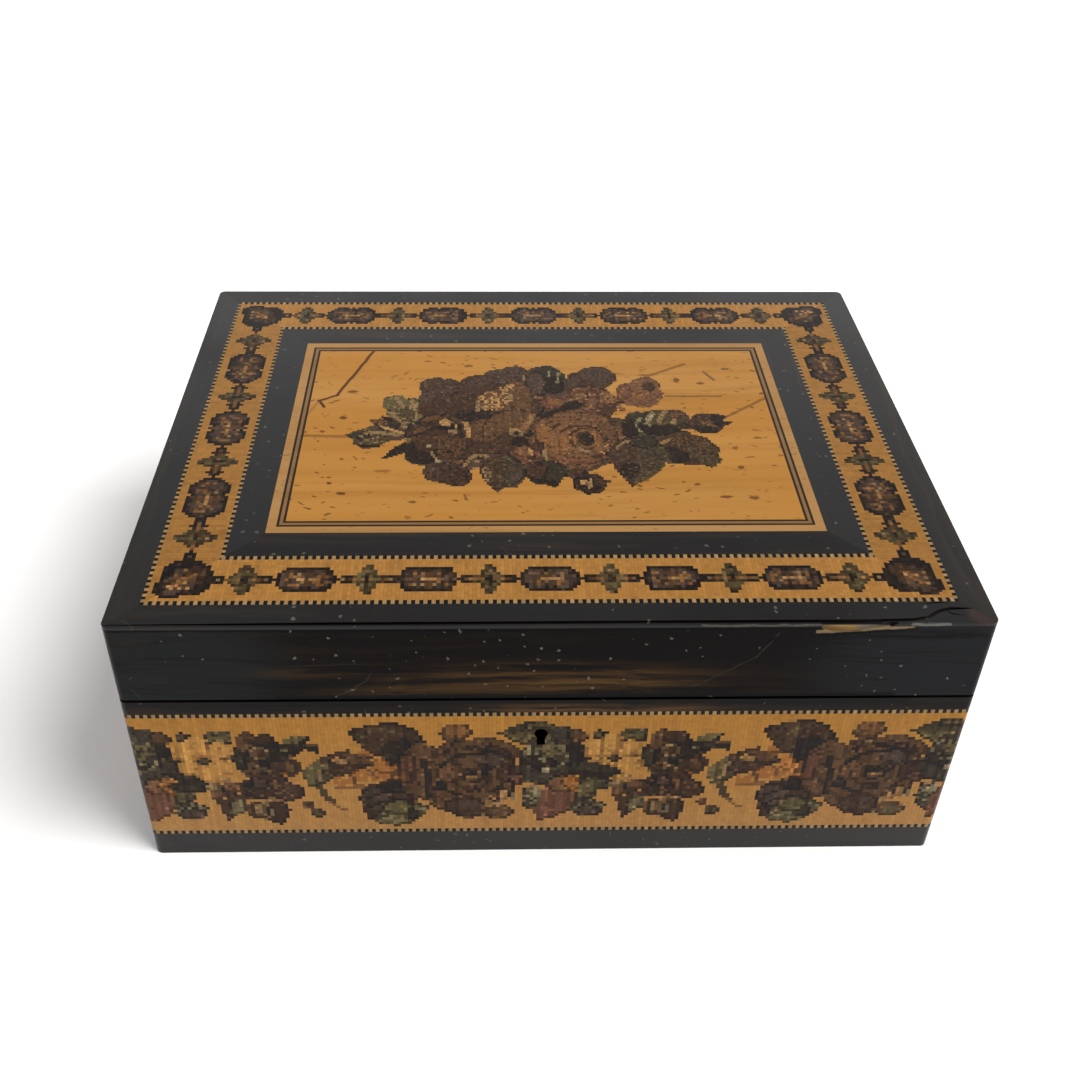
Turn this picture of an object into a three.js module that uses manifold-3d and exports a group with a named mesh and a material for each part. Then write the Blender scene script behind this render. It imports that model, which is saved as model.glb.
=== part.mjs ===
// Tunbridge ware jewelry box: a pine carcass with a hinged lid, veneered in dark
// coromandel wood, end-grain mosaic bands and a pale panel with an inlaid bouquet.
// Millimetres, +Z up. The origin is the middle of the underside, the front faces -Y.
import * as THREE from "three";
import { mergeVertices } from "three/addons/utils/BufferGeometryUtils.js";
import Module from "manifold-3d";

const wasm = await Module();
wasm.setup();

// Driving dimensions of the whole box
const boxWidth = 240;
const boxDepth = 180;
const boxHeight = 97;
const cornerRadius = 2;
const cornerSteps = 3;

// Carcass boards and the veneer on them
const veneer = 1;
const wall = 8;
const bottomBoard = 6;
const lidBoard = 8;

// Heights on the outer faces, from the underside up
const plinthHeight = 9.5;
const railHeight = 5;
const rimHeight = 68;
const lidGap = 1;

// Widths of the strips on the lid's top, from the outer edge inwards
const crossbandWidth = 8.5;
const mosaicWidth = 19.5;
const innerBandWidth = 10;
const edgingWidth = 2.75;
const stringWidth = 0.75;
const stripeWidth = 1;

// Keyhole and lock, a little left of the middle of the front
const keyX = -2.25;
const keyZ = 54;
const keyRadius = 2;
const keySlotHalf = 1.25;
const keySlotDrop = 4.75;
const keyholeDepth = 2;
const lockWidth = 40;
const lockDepth = 5;
const lockTop = 1.5;
const lockDrop = 21;
const selvedgeDepth = 6;

// Catch plate under the lid, with two lugs that drop into the lock
const catchWidth = 32;
const lugSpread = 9;
const lugWidth = 2;
const lugDepth = 2;
const lugDrop = 5.5;
const lugInset = 82.5;
const lugRoom = 0.75;

// Butt hinges on the back, each with five millimetres of knuckle standing out
const hingeX = 70;
const hingeLength = 30;
const leafThickness = 1;
const leafReach = 7;
const leafLip = 0.25;
const knuckleRadius = 2.25;
const knuckleOut = 2.75;
const boreRadius = 1.25;
const pinRadius = 1;
const pinHead = 0.75;
const pinHeadRadius = 2;
const middleKnuckle = 10;
const knuckleGap = 0.3;

// Veneer lost along the lid's top front edge, right of the middle
const chipStart = 72;
const chipEnd = 95;
const chipDrop = 3;
const chipDeep = 0.75;
const chipEdge = [
  { along: 0, down: 0.6 },
  { along: 0.12, down: 1 },
  { along: 0.45, down: 0.85 },
  { along: 0.8, down: 0.35 },
];

// Gap round the bouquet where it is let into the panel
const inlayGap = 0.3;

const lidBottom = rimHeight + lidGap;
const lidHeight = boxHeight - lidBottom;
const lidTopFace = lidHeight - veneer;
const lidCavity = lidTopFace - lidBoard;
const carcassX = boxWidth / 2 - veneer;
const carcassY = boxDepth / 2 - veneer;
const insideX = carcassX - wall;
const insideY = carcassY - wall;
const mosaicBottom = plinthHeight;
const mosaicTop = rimHeight - railHeight;
const hingeY = boxDepth / 2 + knuckleOut;
const hingeZ = rimHeight + lidGap / 2;

const materials = {
  coromandel: { color: 0x241f1d, roughness: 0.38, metalness: 0 },
  mosaic: { color: 0xb98a4c, roughness: 0.45, metalness: 0 },
  bouquet: { color: 0x55382a, roughness: 0.5, metalness: 0 },
  satinwood: { color: 0xc6934b, roughness: 0.42, metalness: 0 },
  edging: { color: 0xcf9c58, roughness: 0.42, metalness: 0 },
  ebony: { color: 0x2b211a, roughness: 0.42, metalness: 0 },
  carcass: { color: 0xa9845a, roughness: 0.65, metalness: 0 },
  brass: { color: 0xa8843f, roughness: 0.38, metalness: 0.9 },
};

// Each mesh has a material of its own, made from a named finish
function piece(name, finish, geometry) {
  const mesh = new THREE.Mesh(geometry, new THREE.MeshStandardMaterial(materials[finish]));
  mesh.name = name;
  return mesh;
}

function solidOf(geometry) {
  const bare = geometry.clone();
  bare.deleteAttribute("normal");
  bare.deleteAttribute("uv");
  const merged = mergeVertices(bare, 1e-4);
  return new wasm.Manifold(
    new wasm.Mesh({
      numProp: 3,
      vertProperties: merged.attributes.position.array,
      triVerts: new Uint32Array(merged.index.array),
    }),
  );
}

function geometryOf(solid) {
  const mesh = solid.getMesh();
  const geometry = new THREE.BufferGeometry();
  geometry.setAttribute("position", new THREE.BufferAttribute(mesh.vertProperties, 3));
  geometry.setIndex(new THREE.BufferAttribute(mesh.triVerts, 1));
  geometry.computeVertexNormals();
  return geometry;
}

function cut(geometry, ...cutters) {
  return geometryOf(cutters.reduce((solid, tool) => solid.subtract(solidOf(tool)), solidOf(geometry)));
}

function join(...geometries) {
  return geometryOf(geometries.map(solidOf).reduce((all, next) => all.add(next)));
}

function block(x0, x1, y0, y1, z0, z1) {
  return new THREE.BoxGeometry(x1 - x0, y1 - y0, z1 - z0).translate(
    (x0 + x1) / 2,
    (y0 + y1) / 2,
    (z0 + z1) / 2,
  );
}

function extrude(points, z0, z1) {
  const shape = new THREE.Shape(points);
  return new THREE.ExtrudeGeometry(shape, { depth: z1 - z0, bevelEnabled: false }).translate(0, 0, z0);
}

// Points of an arc about (x, y), angles in degrees, ends included. A radius of 0 gives one point.
function arc(x, y, radius, from, to) {
  const steps = radius > 0 ? cornerSteps : 0;
  return Array.from({ length: steps + 1 }, (_, i) => {
    const angle = THREE.MathUtils.degToRad(steps ? from + ((to - from) * i) / steps : from);
    return new THREE.Vector2(x + radius * Math.cos(angle), y + radius * Math.sin(angle));
  });
}

// The plan outline at an inset from the box's outer faces, corners rounded about one centre
function planOutline(inset) {
  const radius = Math.max(cornerRadius - inset, 0);
  const x = boxWidth / 2 - inset - radius;
  const y = boxDepth / 2 - inset - radius;
  return [
    ...arc(x, -y, radius, 270, 315),
    ...arc(x, -y, radius, 315, 360).slice(1),
    ...arc(x, y, radius, 0, 45),
    ...arc(x, y, radius, 45, 90).slice(1),
    ...arc(-x, y, radius, 90, 135),
    ...arc(-x, y, radius, 135, 180).slice(1),
    ...arc(-x, -y, radius, 180, 225),
    ...arc(-x, -y, radius, 225, 270).slice(1),
  ];
}

// A closed frame between two insets, with no joint in it
function ring(outerInset, innerInset, z0, z1) {
  const shape = new THREE.Shape(planOutline(outerInset));
  shape.holes.push(new THREE.Path(planOutline(innerInset).reverse()));
  return new THREE.ExtrudeGeometry(shape, { depth: z1 - z0, bevelEnabled: false }).translate(0, 0, z0);
}

// The four sides, each with the quarter turn that brings the front strip to it
const sides = [
  { name: "front", length: boxWidth, reach: boxDepth / 2, turn: (p) => [p.x, p.y] },
  { name: "right", length: boxDepth, reach: boxWidth / 2, turn: (p) => [-p.y, p.x] },
  { name: "back", length: boxWidth, reach: boxDepth / 2, turn: (p) => [-p.x, -p.y] },
  { name: "left", length: boxDepth, reach: boxWidth / 2, turn: (p) => [p.y, -p.x] },
];

// A strip along one side between two insets, mitred through the middle of each rounded corner
function strip(side, outerInset, innerInset, z0, z1) {
  const halfEdge = (inset) => {
    const radius = Math.max(cornerRadius - inset, 0);
    const x = side.length / 2 - inset - radius;
    const y = -side.reach + inset + radius;
    return [...arc(-x, y, radius, 225, 270), ...arc(x, y, radius, 270, 315)];
  };
  const outline = [...halfEdge(outerInset), ...halfEdge(innerInset).reverse()];
  const turned = outline.map((p) => new THREE.Vector2(...side.turn(p)));
  return extrude(turned, z0, z1);
}

// Keyhole: a round head with a straight slot below it, cut inwards from the front face
function keyhole(innerY) {
  const shoulder = -Math.sqrt(keyRadius ** 2 - keySlotHalf ** 2);
  const shape = new THREE.Shape();
  shape.moveTo(-keySlotHalf, -keySlotDrop);
  shape.lineTo(keySlotHalf, -keySlotDrop);
  shape.lineTo(keySlotHalf, shoulder);
  shape.absarc(0, 0, keyRadius, Math.atan2(shoulder, keySlotHalf), Math.atan2(shoulder, -keySlotHalf), false);
  const depth = innerY + boxDepth / 2 + veneer;
  return new THREE.ExtrudeGeometry(shape, { depth, bevelEnabled: false, curveSegments: 14 })
    .rotateX(Math.PI / 2)
    .translate(keyX, innerY, keyZ);
}

// Outline of the lost veneer on the lid's front, in lid heights: deep at the left, thin at the right
function chip() {
  const top = lidHeight + veneer;
  const across = (share) => chipStart + share * (chipEnd - chipStart);
  const shape = new THREE.Shape();
  shape.moveTo(chipStart, top);
  for (const { along, down } of chipEdge) shape.lineTo(across(along), lidHeight - down * chipDrop);
  shape.lineTo(chipEnd, top);
  return new THREE.ExtrudeGeometry(shape, { depth: chipDeep + veneer, bevelEnabled: false })
    .rotateX(Math.PI / 2)
    .translate(0, -boxDepth / 2 + chipDeep, 0);
}

// The carcass corners follow the veneer's inner face, so front and back boards have rounded ends
function endBoard(facing, z0, z1) {
  const radius = cornerRadius - veneer;
  const x = carcassX - radius;
  const y = carcassY - radius;
  const outline = [
    new THREE.Vector2(-carcassX, -insideY),
    ...arc(-x, -y, radius, 180, 225),
    ...arc(-x, -y, radius, 225, 270).slice(1),
    ...arc(x, -y, radius, 270, 315),
    ...arc(x, -y, radius, 315, 360).slice(1),
    new THREE.Vector2(carcassX, -insideY),
  ];
  return extrude(outline.map((p) => new THREE.Vector2(p.x * -facing, p.y * -facing)), z0, z1);
}

function sideBoard(facing, z0, z1) {
  const near = facing > 0 ? insideX : -carcassX;
  return block(near, near + wall, -insideY, insideY, z0, z1);
}

// A cylinder along X with its low end at x0
function rodAlongX(radius, x0, x1, y, z, facets = 16) {
  return new THREE.CylinderGeometry(radius, radius, x1 - x0, facets)
    .rotateZ(Math.PI / 2)
    .translate((x0 + x1) / 2, y, z);
}

// The space a hinge leaf takes in the boards and veneer, in box heights
function leafSeat(x, z0) {
  const y0 = boxDepth / 2 - leafReach;
  return block(x - hingeLength / 2, x + hingeLength / 2, y0, boxDepth / 2 + veneer, z0, z0 + leafThickness);
}

// A leaf: its plate, a tongue to each of its knuckles, and the knuckles bored for the pin
function hingeLeaf(x, z0, knuckles) {
  const y0 = boxDepth / 2 - leafReach;
  const plateEnd = boxDepth / 2 + leafLip;
  const plate = block(x - hingeLength / 2, x + hingeLength / 2, y0, plateEnd, z0, z0 + leafThickness);
  const tongues = knuckles.map(([a, b]) => block(x + a, x + b, plateEnd - leafLip, hingeY, z0, z0 + leafThickness));
  const barrels = knuckles.map(([a, b]) => rodAlongX(knuckleRadius, x + a, x + b, hingeY, hingeZ));
  const bore = rodAlongX(boreRadius, x - hingeLength, x + hingeLength, hingeY, hingeZ);
  return cut(join(plate, ...tongues, ...barrels), bore);
}

function hingePin(x) {
  const end = hingeLength / 2;
  return join(
    rodAlongX(pinRadius, x - end, x + end, hingeY, hingeZ),
    rodAlongX(pinHeadRadius, x - end - pinHead, x - end, hingeY, hingeZ),
    rodAlongX(pinHeadRadius, x + end, x + end + pinHead, hingeY, hingeZ),
  );
}

const hinges = [
  { name: "left", x: -hingeX },
  { name: "right", x: hingeX },
];
const halfHinge = hingeLength / 2;
const halfMiddle = middleKnuckle / 2;
const outerKnuckles = [
  [-halfHinge, -halfMiddle - knuckleGap],
  [halfMiddle + knuckleGap, halfHinge],
];
const innerKnuckle = [[-halfMiddle, halfMiddle]];

// Base: bottom board and four walls
const box = new THREE.Group();
const base = new THREE.Group();
box.add(base);

const selvedge = block(
  keyX - lockWidth / 2, keyX + lockWidth / 2, -insideY - selvedgeDepth, -insideY, rimHeight - lockTop, rimHeight,
);
const lockCase = block(
  keyX - lockWidth / 2, keyX + lockWidth / 2, -insideY - lockDepth, -insideY, rimHeight - lockDrop, rimHeight - lockTop,
);
const lugSlots = [-lugSpread, lugSpread].map((x) =>
  block(
    keyX + x - lugWidth / 2 - lugRoom, keyX + x + lugWidth / 2 + lugRoom,
    -lugInset - lugDepth - lugRoom, -lugInset + lugRoom,
    rimHeight - lugDrop - lugRoom, rimHeight + veneer,
  ),
);

base.add(piece("base_bottom_board", "carcass", block(-insideX, insideX, -insideY, insideY, 0, bottomBoard)));
base.add(
  piece(
    "base_front_wall",
    "carcass",
    cut(endBoard(-1, 0, rimHeight), selvedge, lockCase, keyhole(-insideY - lockDepth + veneer)),
  ),
);
base.add(
  piece(
    "base_back_wall",
    "carcass",
    cut(endBoard(1, 0, rimHeight), ...hinges.map((h) => leafSeat(h.x, rimHeight - leafThickness))),
  ),
);
base.add(piece("base_left_wall", "carcass", sideBoard(-1, 0, rimHeight)));
base.add(piece("base_right_wall", "carcass", sideBoard(1, 0, rimHeight)));

// Base: veneer strips, mitred at the corners
for (const side of sides) {
  base.add(piece(`base_${side.name}_plinth_veneer`, "coromandel", strip(side, 0, veneer, 0, plinthHeight)));
  let mosaic = strip(side, 0, veneer, mosaicBottom, mosaicTop);
  let rail = strip(side, 0, veneer, mosaicTop, rimHeight);
  if (side.name === "front") mosaic = cut(mosaic, keyhole(-insideY));
  if (side.name === "back") rail = cut(rail, ...hinges.map((h) => leafSeat(h.x, rimHeight - leafThickness)));
  base.add(piece(`base_${side.name}_floral_mosaic`, "mosaic", mosaic));
  base.add(piece(`base_${side.name}_rail_veneer`, "coromandel", rail));
}

// Lock let into the front wall, its keyway blind
base.add(
  piece(
    "lock",
    "brass",
    cut(join(selvedge, lockCase), keyhole(-insideY - lockDepth + keyholeDepth), ...lugSlots),
  ),
);

// Hinge leaves and pins that stay with the base
for (const hinge of hinges) {
  base.add(piece(`hinge_${hinge.name}_base_leaf`, "brass", hingeLeaf(hinge.x, rimHeight - leafThickness, outerKnuckles)));
  base.add(piece(`hinge_${hinge.name}_pin`, "brass", hingePin(hinge.x)));
}

// Lid: modelled from its own lower edge and lifted onto the base
const lid = new THREE.Group();
lid.position.z = lidBottom;
box.add(lid);
const toLid = (geometry) => geometry.translate(0, 0, -lidBottom);

const catchPlate = block(
  keyX - catchWidth / 2, keyX + catchWidth / 2, -insideY - selvedgeDepth, -insideY, 0, lockTop,
);
const lugs = [-lugSpread, lugSpread].map((x) =>
  block(
    keyX + x - lugWidth / 2, keyX + x + lugWidth / 2, -lugInset - lugDepth, -lugInset, -lidGap - lugDrop, lockTop,
  ),
);
const lidSeats = hinges.map((h) => toLid(leafSeat(h.x, lidBottom)));

lid.add(piece("lid_top_board", "carcass", extrude(planOutline(veneer), lidCavity, lidTopFace)));
lid.add(piece("lid_front_wall", "carcass", cut(endBoard(-1, 0, lidCavity), catchPlate)));
lid.add(piece("lid_back_wall", "carcass", cut(endBoard(1, 0, lidCavity), ...lidSeats)));
lid.add(piece("lid_left_wall", "carcass", sideBoard(-1, 0, lidCavity)));
lid.add(piece("lid_right_wall", "carcass", sideBoard(1, 0, lidCavity)));
lid.add(piece("lid_catch", "brass", join(catchPlate, ...lugs)));
for (const hinge of hinges) {
  lid.add(piece(`hinge_${hinge.name}_lid_leaf`, "brass", toLid(hingeLeaf(hinge.x, lidBottom, innerKnuckle))));
}

// Lid: side veneers, then the strips on its top from the edge inwards
const mosaicInset = crossbandWidth;
const innerBandInset = mosaicInset + mosaicWidth;
const edgingInset = innerBandInset + innerBandWidth;
const outerStringInset = edgingInset + edgingWidth;
const stripeInset = outerStringInset + stringWidth;
const innerStringInset = stripeInset + stripeWidth;
const panelInset = innerStringInset + stringWidth;

for (const side of sides) {
  let cover = strip(side, 0, veneer, 0, lidTopFace);
  let crossband = strip(side, 0, crossbandWidth, lidTopFace, lidHeight);
  if (side.name === "front") {
    cover = cut(cover, chip());
    crossband = cut(crossband, chip());
  }
  if (side.name === "back") cover = cut(cover, ...lidSeats);
  const onTop = (from, to) => strip(side, from, to, lidTopFace, lidHeight);
  lid.add(piece(`lid_${side.name}_veneer`, "coromandel", cover));
  lid.add(piece(`lid_${side.name}_crossbanding`, "coromandel", crossband));
  lid.add(piece(`lid_${side.name}_cartouche_mosaic`, "mosaic", onTop(mosaicInset, innerBandInset)));
  lid.add(piece(`lid_${side.name}_inner_banding`, "coromandel", onTop(innerBandInset, edgingInset)));
}

const lidRing = (from, to) => ring(from, to, lidTopFace, lidHeight);
lid.add(piece("lid_light_edging", "edging", lidRing(edgingInset, outerStringInset)));
lid.add(piece("lid_outer_stringing", "ebony", lidRing(outerStringInset, stripeInset)));
lid.add(piece("lid_light_stripe", "edging", lidRing(stripeInset, innerStringInset)));
lid.add(piece("lid_inner_stringing", "ebony", lidRing(innerStringInset, panelInset)));

// The bouquet's flowers, placed from the lid's centre: a radius, petals and how deep they are scalloped
const flowers = {
  peony: { x: -13, y: 18, radius: 14, petals: 7, scallop: 0.06 },
  peonyPetal: { x: -19.8, y: 23.9, radius: 7.6, petals: 5, scallop: 0.03 },
  peonyBrow: { x: -13.5, y: 29.5, radius: 5.4, petals: 5, scallop: 0.03 },
  peonyCrest: { x: -8, y: 31.7, radius: 5.2, petals: 5, scallop: 0.03 },
  openRose: { x: 11, y: -7, radius: 16.2, petals: 9, scallop: 0.04 },
  rosePetal: { x: 8.5, y: -16.5, radius: 7, petals: 5, scallop: 0.05 },
  dahlia: { x: -30, y: -6, radius: 14, petals: 9, scallop: 0.06 },
  dahliaPetal: { x: -37.5, y: -14, radius: 6.3, petals: 5, scallop: 0.04 },
  dahliaFoot: { x: -31.5, y: -23, radius: 6, petals: 5, scallop: 0.03 },
  dahliaEnd: { x: -26.8, y: -26, radius: 4.8, petals: 5, scallop: 0.04 },
  smallRose: { x: 34.2, y: 19.3, radius: 8, petals: 5, scallop: 0.04 },
  smallRosePetal: { x: 36.8, y: 24.5, radius: 5.2, petals: 5, scallop: 0.03 },
  stamenCluster: { x: -15, y: -11, radius: 11, petals: 6, scallop: 0.06 },
  curledPetals: { x: 17.5, y: 14, radius: 10, petals: 5, scallop: 0.08 },
  orangePetal: { x: 4, y: 14, radius: 8, petals: 5, scallop: 0.05 },
  fallenBud: { x: 14, y: -29.4, radius: 5.2, petals: 7, scallop: 0.05 },
  budNeck: { x: 9.5, y: -23.8, radius: 3.2, petals: 5, scallop: 0.03 },
  orangeCurl: { x: -4.5, y: -15.5, radius: 5, petals: 5, scallop: 0.04 },
  clusterFoot: { x: -23.8, y: -18.6, radius: 4.2, petals: 5, scallop: 0.04 },
  crownGap: { x: 11.3, y: 23, radius: 3.6, petals: 5, scallop: 0.03 },
  leafRoots: { x: 31.5, y: -4.8, radius: 5.2, petals: 5, scallop: 0.03 },
  footGap: { x: -6, y: -21.8, radius: 3.4, petals: 5, scallop: 0.03 },
  shade: { x: -6, y: 2, radius: 15, petals: 6, scallop: 0.02 },
  shadeLeft: { x: -26.5, y: 8.5, radius: 13, petals: 6, scallop: 0.02 },
};

// Rounded parts of its leaves and buds, drawn as the flowers are
const leaves = {
  purple: { x: -35.3, y: 24.2, radius: 5.4, petals: 5, scallop: 0.04 },
  purpleSide: { x: -31.3, y: 23.2, radius: 5.6, petals: 5, scallop: 0.04 },
  purpleFoot: { x: -33, y: 15, radius: 8, petals: 5, scallop: 0.03 },
  crown: { x: 2.5, y: 30.6, radius: 6.6, petals: 5, scallop: 0.05 },
  crownSide: { x: 4, y: 25.5, radius: 7.4, petals: 5, scallop: 0.04 },
  upper: { x: 20.3, y: 29.7, radius: 6.9, petals: 5, scallop: 0.04 },
  upperSide: { x: 16.2, y: 27.6, radius: 6.2, petals: 5, scallop: 0.05 },
  striped: { x: 34, y: 1.8, radius: 7.3, petals: 6, scallop: 0.04 },
  stripedTip: { x: 40.5, y: 3.8, radius: 6.6, petals: 6, scallop: 0.04 },
  stripedEnd: { x: 45, y: 6, radius: 4.2, petals: 6, scallop: 0.05 },
  broad: { x: 48.2, y: -12.3, radius: 8.2, petals: 6, scallop: 0.03 },
  broadRoot: { x: 43, y: -9.5, radius: 8.4, petals: 6, scallop: 0.03 },
  broadFoot: { x: 41.5, y: -14, radius: 5.4, petals: 6, scallop: 0.04 },
  broadCorner: { x: 52.6, y: -17.3, radius: 3.8, petals: 4, scallop: 0.08 },
  footRound: { x: 0.3, y: -24, radius: 6.2, petals: 6, scallop: 0.04 },
  middleRound: { x: -11.8, y: -26, radius: 5.8, petals: 6, scallop: 0.04 },
  budRight: { x: 54.8, y: 2.2, radius: 5.7, petals: 6, scallop: 0.03 },
  budLeft: { x: -55.5, y: -6, radius: 5.4, petals: 7, scallop: 0.06 },
  budLeftTop: { x: -53.5, y: -2.6, radius: 4.2, petals: 6, scallop: 0.05 },
  budSmall: { x: -50.3, y: 1.6, radius: 4, petals: 6, scallop: 0.06 },
  oliveRound: { x: -48.3, y: 14.2, radius: 4.6, petals: 5, scallop: 0.05 },
  oliveSide: { x: -43.5, y: 12, radius: 5.2, petals: 5, scallop: 0.05 },
};

// Pointed leaves, stems and sepals: the root, the length, the width, and the way they point in degrees
const blades = {
  olive: { x: -38.5, y: 1, length: 21, width: 12, angle: 128 },
  roseLeaf: { x: 19, y: 4, length: 12, width: 11, angle: -40 },
  down: { x: 33, y: -4, length: 27.8, width: 17.5, angle: -103 },
  downRound: { x: 36, y: -10, length: 20, width: 10, angle: -108 },
  footRight: { x: -1, y: -18, length: 14.3, width: 11, angle: -71 },
  footMiddle: { x: -12, y: -14, length: 19.8, width: 13, angle: -98 },
  budStem: { x: -36, y: -4, length: 18, width: 6, angle: 180 },
  bigBudTip: { x: -47, y: -5, length: 16.6, width: 9, angle: 176 },
  sepal: { x: -41, y: -3.5, length: 13, width: 5, angle: 139 },
  smallBudTip: { x: -50, y: 2.5, length: 6.8, width: 2.8, angle: 163 },
  smallBudSide: { x: -50.5, y: 3, length: 4.6, width: 2.6, angle: 115 },
  stem: { x: -39, y: -6.5, length: 15.8, width: 4.4, angle: 221 },
  rightBudStem: { x: 42, y: 1, length: 14, width: 5.5, angle: 8 },
  budTip: { x: 55, y: 5, length: 7.2, width: 3.6, angle: 10 },
  budTipLow: { x: 56, y: 1.6, length: 7.8, width: 2.8, angle: 9 },
  budSpike: { x: 15.5, y: -28.6, length: 5.6, width: 2.2, angle: 3 },
  roseSepal: { x: 23, y: 15, length: 8.6, width: 3.8, angle: -45 },
};
const petalSteps = 4;
const bladeSteps = 7;
const bladeFullness = 0.85;
const bladeRoot = 0.4;

// Each form is a thin solid on the lid's board, grown outwards by some margin
function flowerSolid({ x, y, radius, petals, scallop }, grow) {
  const steps = petals * petalSteps;
  const outline = Array.from({ length: steps }, (_, i) => {
    const angle = (i / steps) * 2 * Math.PI;
    const reach = radius * (1 + scallop * Math.cos(petals * angle)) + grow;
    return new THREE.Vector2(x + reach * Math.cos(angle), y + reach * Math.sin(angle));
  });
  return extrude(outline, lidTopFace - grow, lidHeight + grow);
}

function bladeSolid({ x, y, length, width, angle }, grow) {
  const half = Array.from({ length: bladeSteps }, (_, i) => i / bladeSteps);
  const bulge = (t) => (width / 2) * Math.sin(Math.PI * t ** bladeFullness) + bladeRoot * (1 - t) + grow;
  const along = (t) => t * (length + 2 * grow) - grow;
  const outline = [
    ...half.map((t) => new THREE.Vector2(along(t), -bulge(t))),
    new THREE.Vector2(along(1), 0),
    ...half.map((t) => new THREE.Vector2(along(t), bulge(t))).reverse(),
  ];
  return extrude(outline, lidTopFace - grow, lidHeight + grow)
    .rotateZ(THREE.MathUtils.degToRad(angle))
    .translate(x, y, 0);
}

function bouquetSolid(grow) {
  const rounded = [...Object.values(flowers), ...Object.values(leaves)];
  return join(
    ...rounded.map((form) => flowerSolid(form, grow)),
    ...Object.values(blades).map((blade) => bladeSolid(blade, grow)),
  );
}

const panelBlank = extrude(planOutline(panelInset), lidTopFace, lidHeight);
lid.add(piece("lid_panel", "satinwood", cut(panelBlank, bouquetSolid(inlayGap))));
lid.add(piece("lid_bouquet_inlay", "bouquet", bouquetSolid(0)));

export default box;
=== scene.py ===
import math

import bmesh
import bpy
import numpy as np
from mathutils import Matrix, Vector


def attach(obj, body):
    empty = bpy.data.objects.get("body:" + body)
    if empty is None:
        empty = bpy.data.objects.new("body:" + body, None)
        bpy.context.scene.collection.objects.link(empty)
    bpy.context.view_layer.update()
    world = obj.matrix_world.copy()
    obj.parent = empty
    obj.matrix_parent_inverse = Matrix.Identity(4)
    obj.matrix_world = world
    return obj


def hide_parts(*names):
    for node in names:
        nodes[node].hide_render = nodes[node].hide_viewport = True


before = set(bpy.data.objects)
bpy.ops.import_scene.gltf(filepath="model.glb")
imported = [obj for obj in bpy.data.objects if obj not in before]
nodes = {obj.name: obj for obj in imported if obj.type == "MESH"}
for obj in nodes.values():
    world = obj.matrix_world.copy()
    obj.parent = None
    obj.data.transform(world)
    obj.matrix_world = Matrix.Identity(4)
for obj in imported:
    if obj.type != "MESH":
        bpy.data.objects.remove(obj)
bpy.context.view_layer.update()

mm = 0.001
sideNames = ("front", "right", "back", "left")
longSides = ("front", "back")

# Node helpers


def put(tree, kind, inputs=None, **settings):
    node = tree.nodes.new(kind)
    for key, value in settings.items():
        setattr(node, key, value)
    for key, value in (inputs or {}).items():
        socket = node.inputs[key]
        if isinstance(value, bpy.types.NodeSocket):
            tree.links.new(value, socket)
        else:
            socket.default_value = value
    return node


def shade(tree, kind, inputs=None, **settings):
    return put(tree, "ShaderNode" + kind, inputs, **settings)


def placeGroup(tree, group, inputs):
    return shade(tree, "Group", inputs, node_tree=group).outputs


def sums(tree, operation, a, b=0.0, clamp=False):
    return shade(tree, "Math", {0: a, 1: b}, operation=operation, use_clamp=clamp).outputs[0]


def times(tree, first, *others):
    for other in others:
        first = sums(tree, "MULTIPLY", first, other)
    return first


def vectors(tree, operation, a, b=None):  # SCALE takes a number as b
    inputs = {0: a} if b is None else {0: a, (3 if operation == "SCALE" else 1): b}
    node = shade(tree, "VectorMath", inputs, operation=operation)
    return node.outputs["Value" if operation in ("LENGTH", "DISTANCE", "DOT_PRODUCT") else "Vector"]


def blend(tree, amount, a, b):
    return shade(tree, "Mix", {0: amount, 6: a, 7: b}, data_type="RGBA").outputs[2]


def remap(tree, value, low, high, to0=0.0, to1=1.0, smooth=True):
    kind = "SMOOTHSTEP" if smooth else "LINEAR"
    inputs = {"Value": value, "From Min": low, "From Max": high, "To Min": to0, "To Max": to1}
    return shade(tree, "MapRange", inputs, interpolation_type=kind).outputs["Result"]


def axes(tree, vector):
    return shade(tree, "SeparateXYZ", {0: vector}).outputs


def channel(tree, colour, index):
    return shade(tree, "SeparateColor", {0: colour}).outputs[index]


def scaled(tree, vector, scale, turn=0.0):
    return shade(tree, "Mapping", {"Vector": vector, "Rotation": (0, 0, turn), "Scale": scale}).outputs[0]


def noise(tree, vector, scale, detail=3.0, roughness=0.55, output="Fac"):
    inputs = {"Vector": vector, "Scale": scale, "Detail": detail, "Roughness": roughness}
    return shade(tree, "TexNoise", inputs).outputs[output]


def wavered(tree, vector, scale, reach):  # the same vector, pushed about by noise
    push = vectors(tree, "SCALE", noise(tree, vector, scale, output="Color"), reach)
    return vectors(tree, "ADD", vector, push)


def startTree(kind, name, inputs, outputs):
    tree = bpy.data.node_groups.new(name, kind + "NodeTree")
    for label, socketKind, value in inputs:
        socket = tree.interface.new_socket(name=label, in_out="INPUT", socket_type="NodeSocket" + socketKind)
        if value is not None:
            socket.default_value = value
    for label, socketKind in outputs:
        tree.interface.new_socket(name=label, in_out="OUTPUT", socket_type="NodeSocket" + socketKind)
    return tree, tree.nodes.new("NodeGroupInput").outputs, tree.nodes.new("NodeGroupOutput").inputs


waxed = {"light": 1.32, "haze": 0.008, "least": 0.001}  # how much paler waxed wood looks than it is


def linear(colour):
    deep = [max((c / 255) ** 2.2 - waxed["haze"], waxed["least"]) / waxed["light"] for c in colour]
    return (*deep, 1.0)


def tint(tree, colour, mask, strength, tone):
    return blend(tree, times(tree, mask, strength), colour, linear(tone))


def addPiece(name, mesh):
    piece = bpy.data.objects.new(name, mesh)
    bpy.context.scene.collection.objects.link(piece)
    return piece


# Camera, at the photograph's viewing angle

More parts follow.
